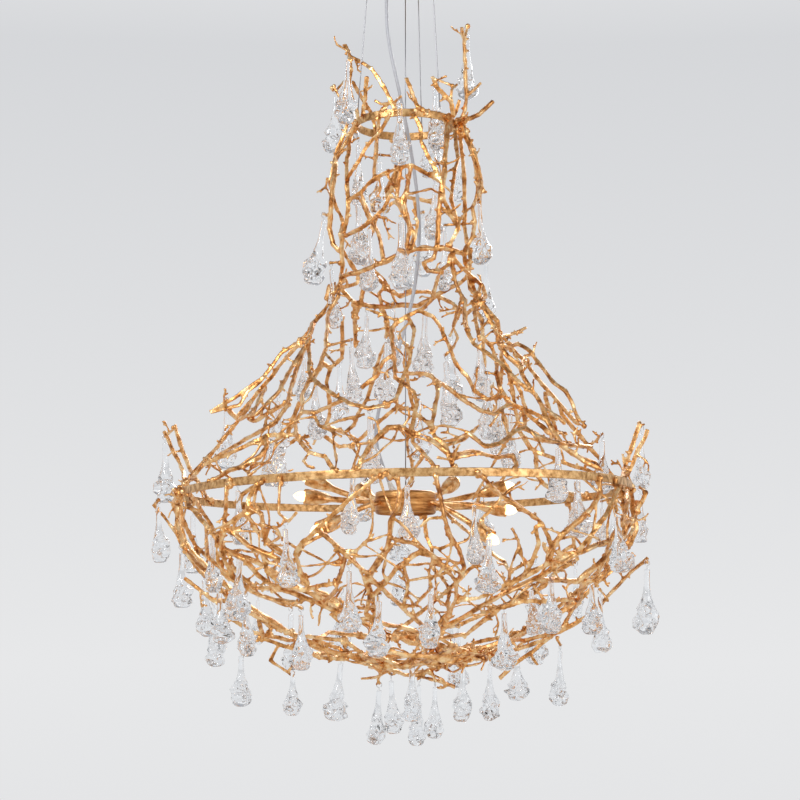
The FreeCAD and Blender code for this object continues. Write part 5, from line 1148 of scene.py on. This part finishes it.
def canopy():
    # The canopy's turned shell, and a small bush where each wire goes in
    low, high = box_of("canopy_cover")
    radius = (high.x - low.x) / 2
    height = high.z - low.z
    soft = CANOPY_SOFTNESS
    wall = CANOPY_WALL
    lip = CANOPY_LIP
    outline = [(height, radius - wall), (height, radius - 0.0004), (height - lip, radius)]
    for k in range(1, CANOPY_STEPS + 1):
        outline.append((soft + (height - soft - lip) * (1 - k / CANOPY_STEPS), radius))
    for k in range(1, CANOPY_CORNER_STEPS + 1):
        angle = math.pi / 2 * k / CANOPY_CORNER_STEPS
        outline.append((soft - soft * math.sin(angle), radius - soft + soft * math.cos(angle)))
    outline += [(0.0, radius * 0.7), (0.0, radius * 0.4), (0.0, CANOPY_HOLE), (wall, CANOPY_HOLE),
                (wall, radius * 0.6), (wall, radius - soft), (soft, radius - wall)]
    rings = [circle(Vector((0, 0, low.z)) + UP * along, UP, wide, CANOPY_SIDES) for along, wide in outline]
    place(make_object("canopy_shell", *closed_skin(rings)), PAINT, "canopy_cover")
    bushes = []
    for points in islands("suspension_wires") + islands("hub_wire"):
        top, bottom = upright_ends(points)
        spot = top.lerp(bottom, (low.z - top.z) / (bottom.z - top.z))
        bushes.append(lathe(Vector((spot.x, spot.y, low.z + BUSH_LIFT)), -UP, BUSH_OUTLINE, BUSH_SIDES))
    ring = make_object("canopy_bushes", *joined(bushes))
    ring.data.materials.append(PLASTIC)
    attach(ring, "cage")


def carried_over():
    # CAD nodes whose own shape is right get a material and soft edges
    for name, material, width in (("ceiling_plate", STEEL, 0.0004), ("canopy_studs", STEEL, 0.0003),
                                  ("canopy_nuts", STEEL, 0.0004), ("terminal_block", PLASTIC, 0.0008),
                                  ("hub_terminal", PLASTIC, 0.0008)):
        obj = nodes[name]
        for slot in obj.material_slots:
            slot.material = material
        bevel = obj.modifiers.new("soft edges", "BEVEL")
        bevel.width = width
        bevel.segments = 2
        bevel.limit_method = "ANGLE"


# Studio

def seen_rays(tree):
    # 1 for the rays that show a surface, in the picture, in metal and through glass
    paths = tree.nodes.new("ShaderNodeLightPath")
    value = paths.outputs["Is Camera Ray"]
    for name in ("Is Transmission Ray", "Is Glossy Ray"):
        larger = tree.nodes.new("ShaderNodeMath")
        larger.operation = "MAXIMUM"
        tree.links.new(value, larger.inputs[0])
        tree.links.new(paths.outputs[name], larger.inputs[1])
        value = larger.outputs[0]
    return value


def add_mix(tree, share, first, second, surface):
    # Two shaders mixed by a share, on to the surface
    mix = tree.nodes.new("ShaderNodeMixShader")
    tree.links.new(share, mix.inputs["Fac"])
    tree.links.new(first.outputs[0], mix.inputs[1])
    tree.links.new(second.outputs[0], mix.inputs[2])
    tree.links.new(mix.outputs[0], surface)


def floor():
    material, tree, shader = shader_material("pale_floor")
    shader.inputs["Roughness"].default_value = 0.9
    tree.links.new(add_ramp(tree, add_noise(tree, 0.6, 2.0), FLOOR_SHADES), shader.inputs["Base Color"])
    tone = tree.nodes.new("ShaderNodeEmission")
    tone.inputs["Color"].default_value = (*FLOOR_TONE, 1.0)
    share = tree.nodes.new("ShaderNodeMath")
    share.operation = "MULTIPLY"
    share.inputs[1].default_value = FLOOR_TONE_SHARE
    tree.links.new(seen_rays(tree), share.inputs[0])
    add_mix(tree, share.outputs[0], shader, tone, tree.nodes["Material Output"].inputs["Surface"])
    rim = circle(Vector((0, 0, FLOOR_HEIGHT)), UP, FLOOR_RADIUS, FLOOR_CORNERS)
    ground = make_object("studio_floor", rim, [tuple(range(FLOOR_CORNERS))], smooth=False, boxed=False)
    ground.data.materials.append(material)


def backdrop():
    # The world: an even white light, and a graded backdrop that only pictures, metal and glass show
    world = bpy.data.worlds.new("studio_world")
    bpy.context.scene.world = world
    world.use_nodes = True
    tree = world.node_tree
    for node in list(tree.nodes):
        tree.nodes.remove(node)
    output = tree.nodes.new("ShaderNodeOutputWorld")
    soft = tree.nodes.new("ShaderNodeBackground")
    soft.inputs["Color"].default_value = (1.0, 1.0, 1.0, 1.0)
    soft.inputs["Strength"].default_value = WORLD_STRENGTH
    seen = tree.nodes.new("ShaderNodeBackground")
    seen.inputs["Strength"].default_value = 1.0
    direction = tree.nodes.new("ShaderNodeTexCoord")
    parts = tree.nodes.new("ShaderNodeSeparateXYZ")
    tree.links.new(direction.outputs["Generated"], parts.inputs["Vector"])
    height = tree.nodes.new("ShaderNodeMapRange")
    height.inputs["From Min"].default_value = -1.0
    tree.links.new(parts.outputs["Z"], height.inputs["Value"])
    tree.links.new(add_ramp(tree, height.outputs["Result"], SKY_STOPS), seen.inputs["Color"])
    add_mix(tree, seen_rays(tree), soft, seen, output.inputs["Surface"])


def studio():
    floor()
    backdrop()
    for name, spot, size, power in STUDIO_LAMPS:
        data = bpy.data.lights.new(name, "AREA")
        data.size = size
        data.energy = power
        lamp = bpy.data.objects.new(name, data)
        lamp.location = spot
        lamp.rotation_euler = (Vector(LAMP_AIM) - Vector(spot)).to_track_quat("-Z", "Y").to_euler()
        lamp.visible_transmission = False
        bpy.context.scene.collection.objects.link(lamp)
    bpy.context.scene.view_settings.view_transform = "Standard"


camera()
cord = power_cord()
branches()
band_ring("main_ring", MAIN_RING_TILT_DEGREES, MAIN_RING_SIDES)
band_ring("crown_ring", 0.0, CROWN_RING_SIDES)
drum()
lamps()
drops()
fittings()
canopy()
carried_over()
studio()
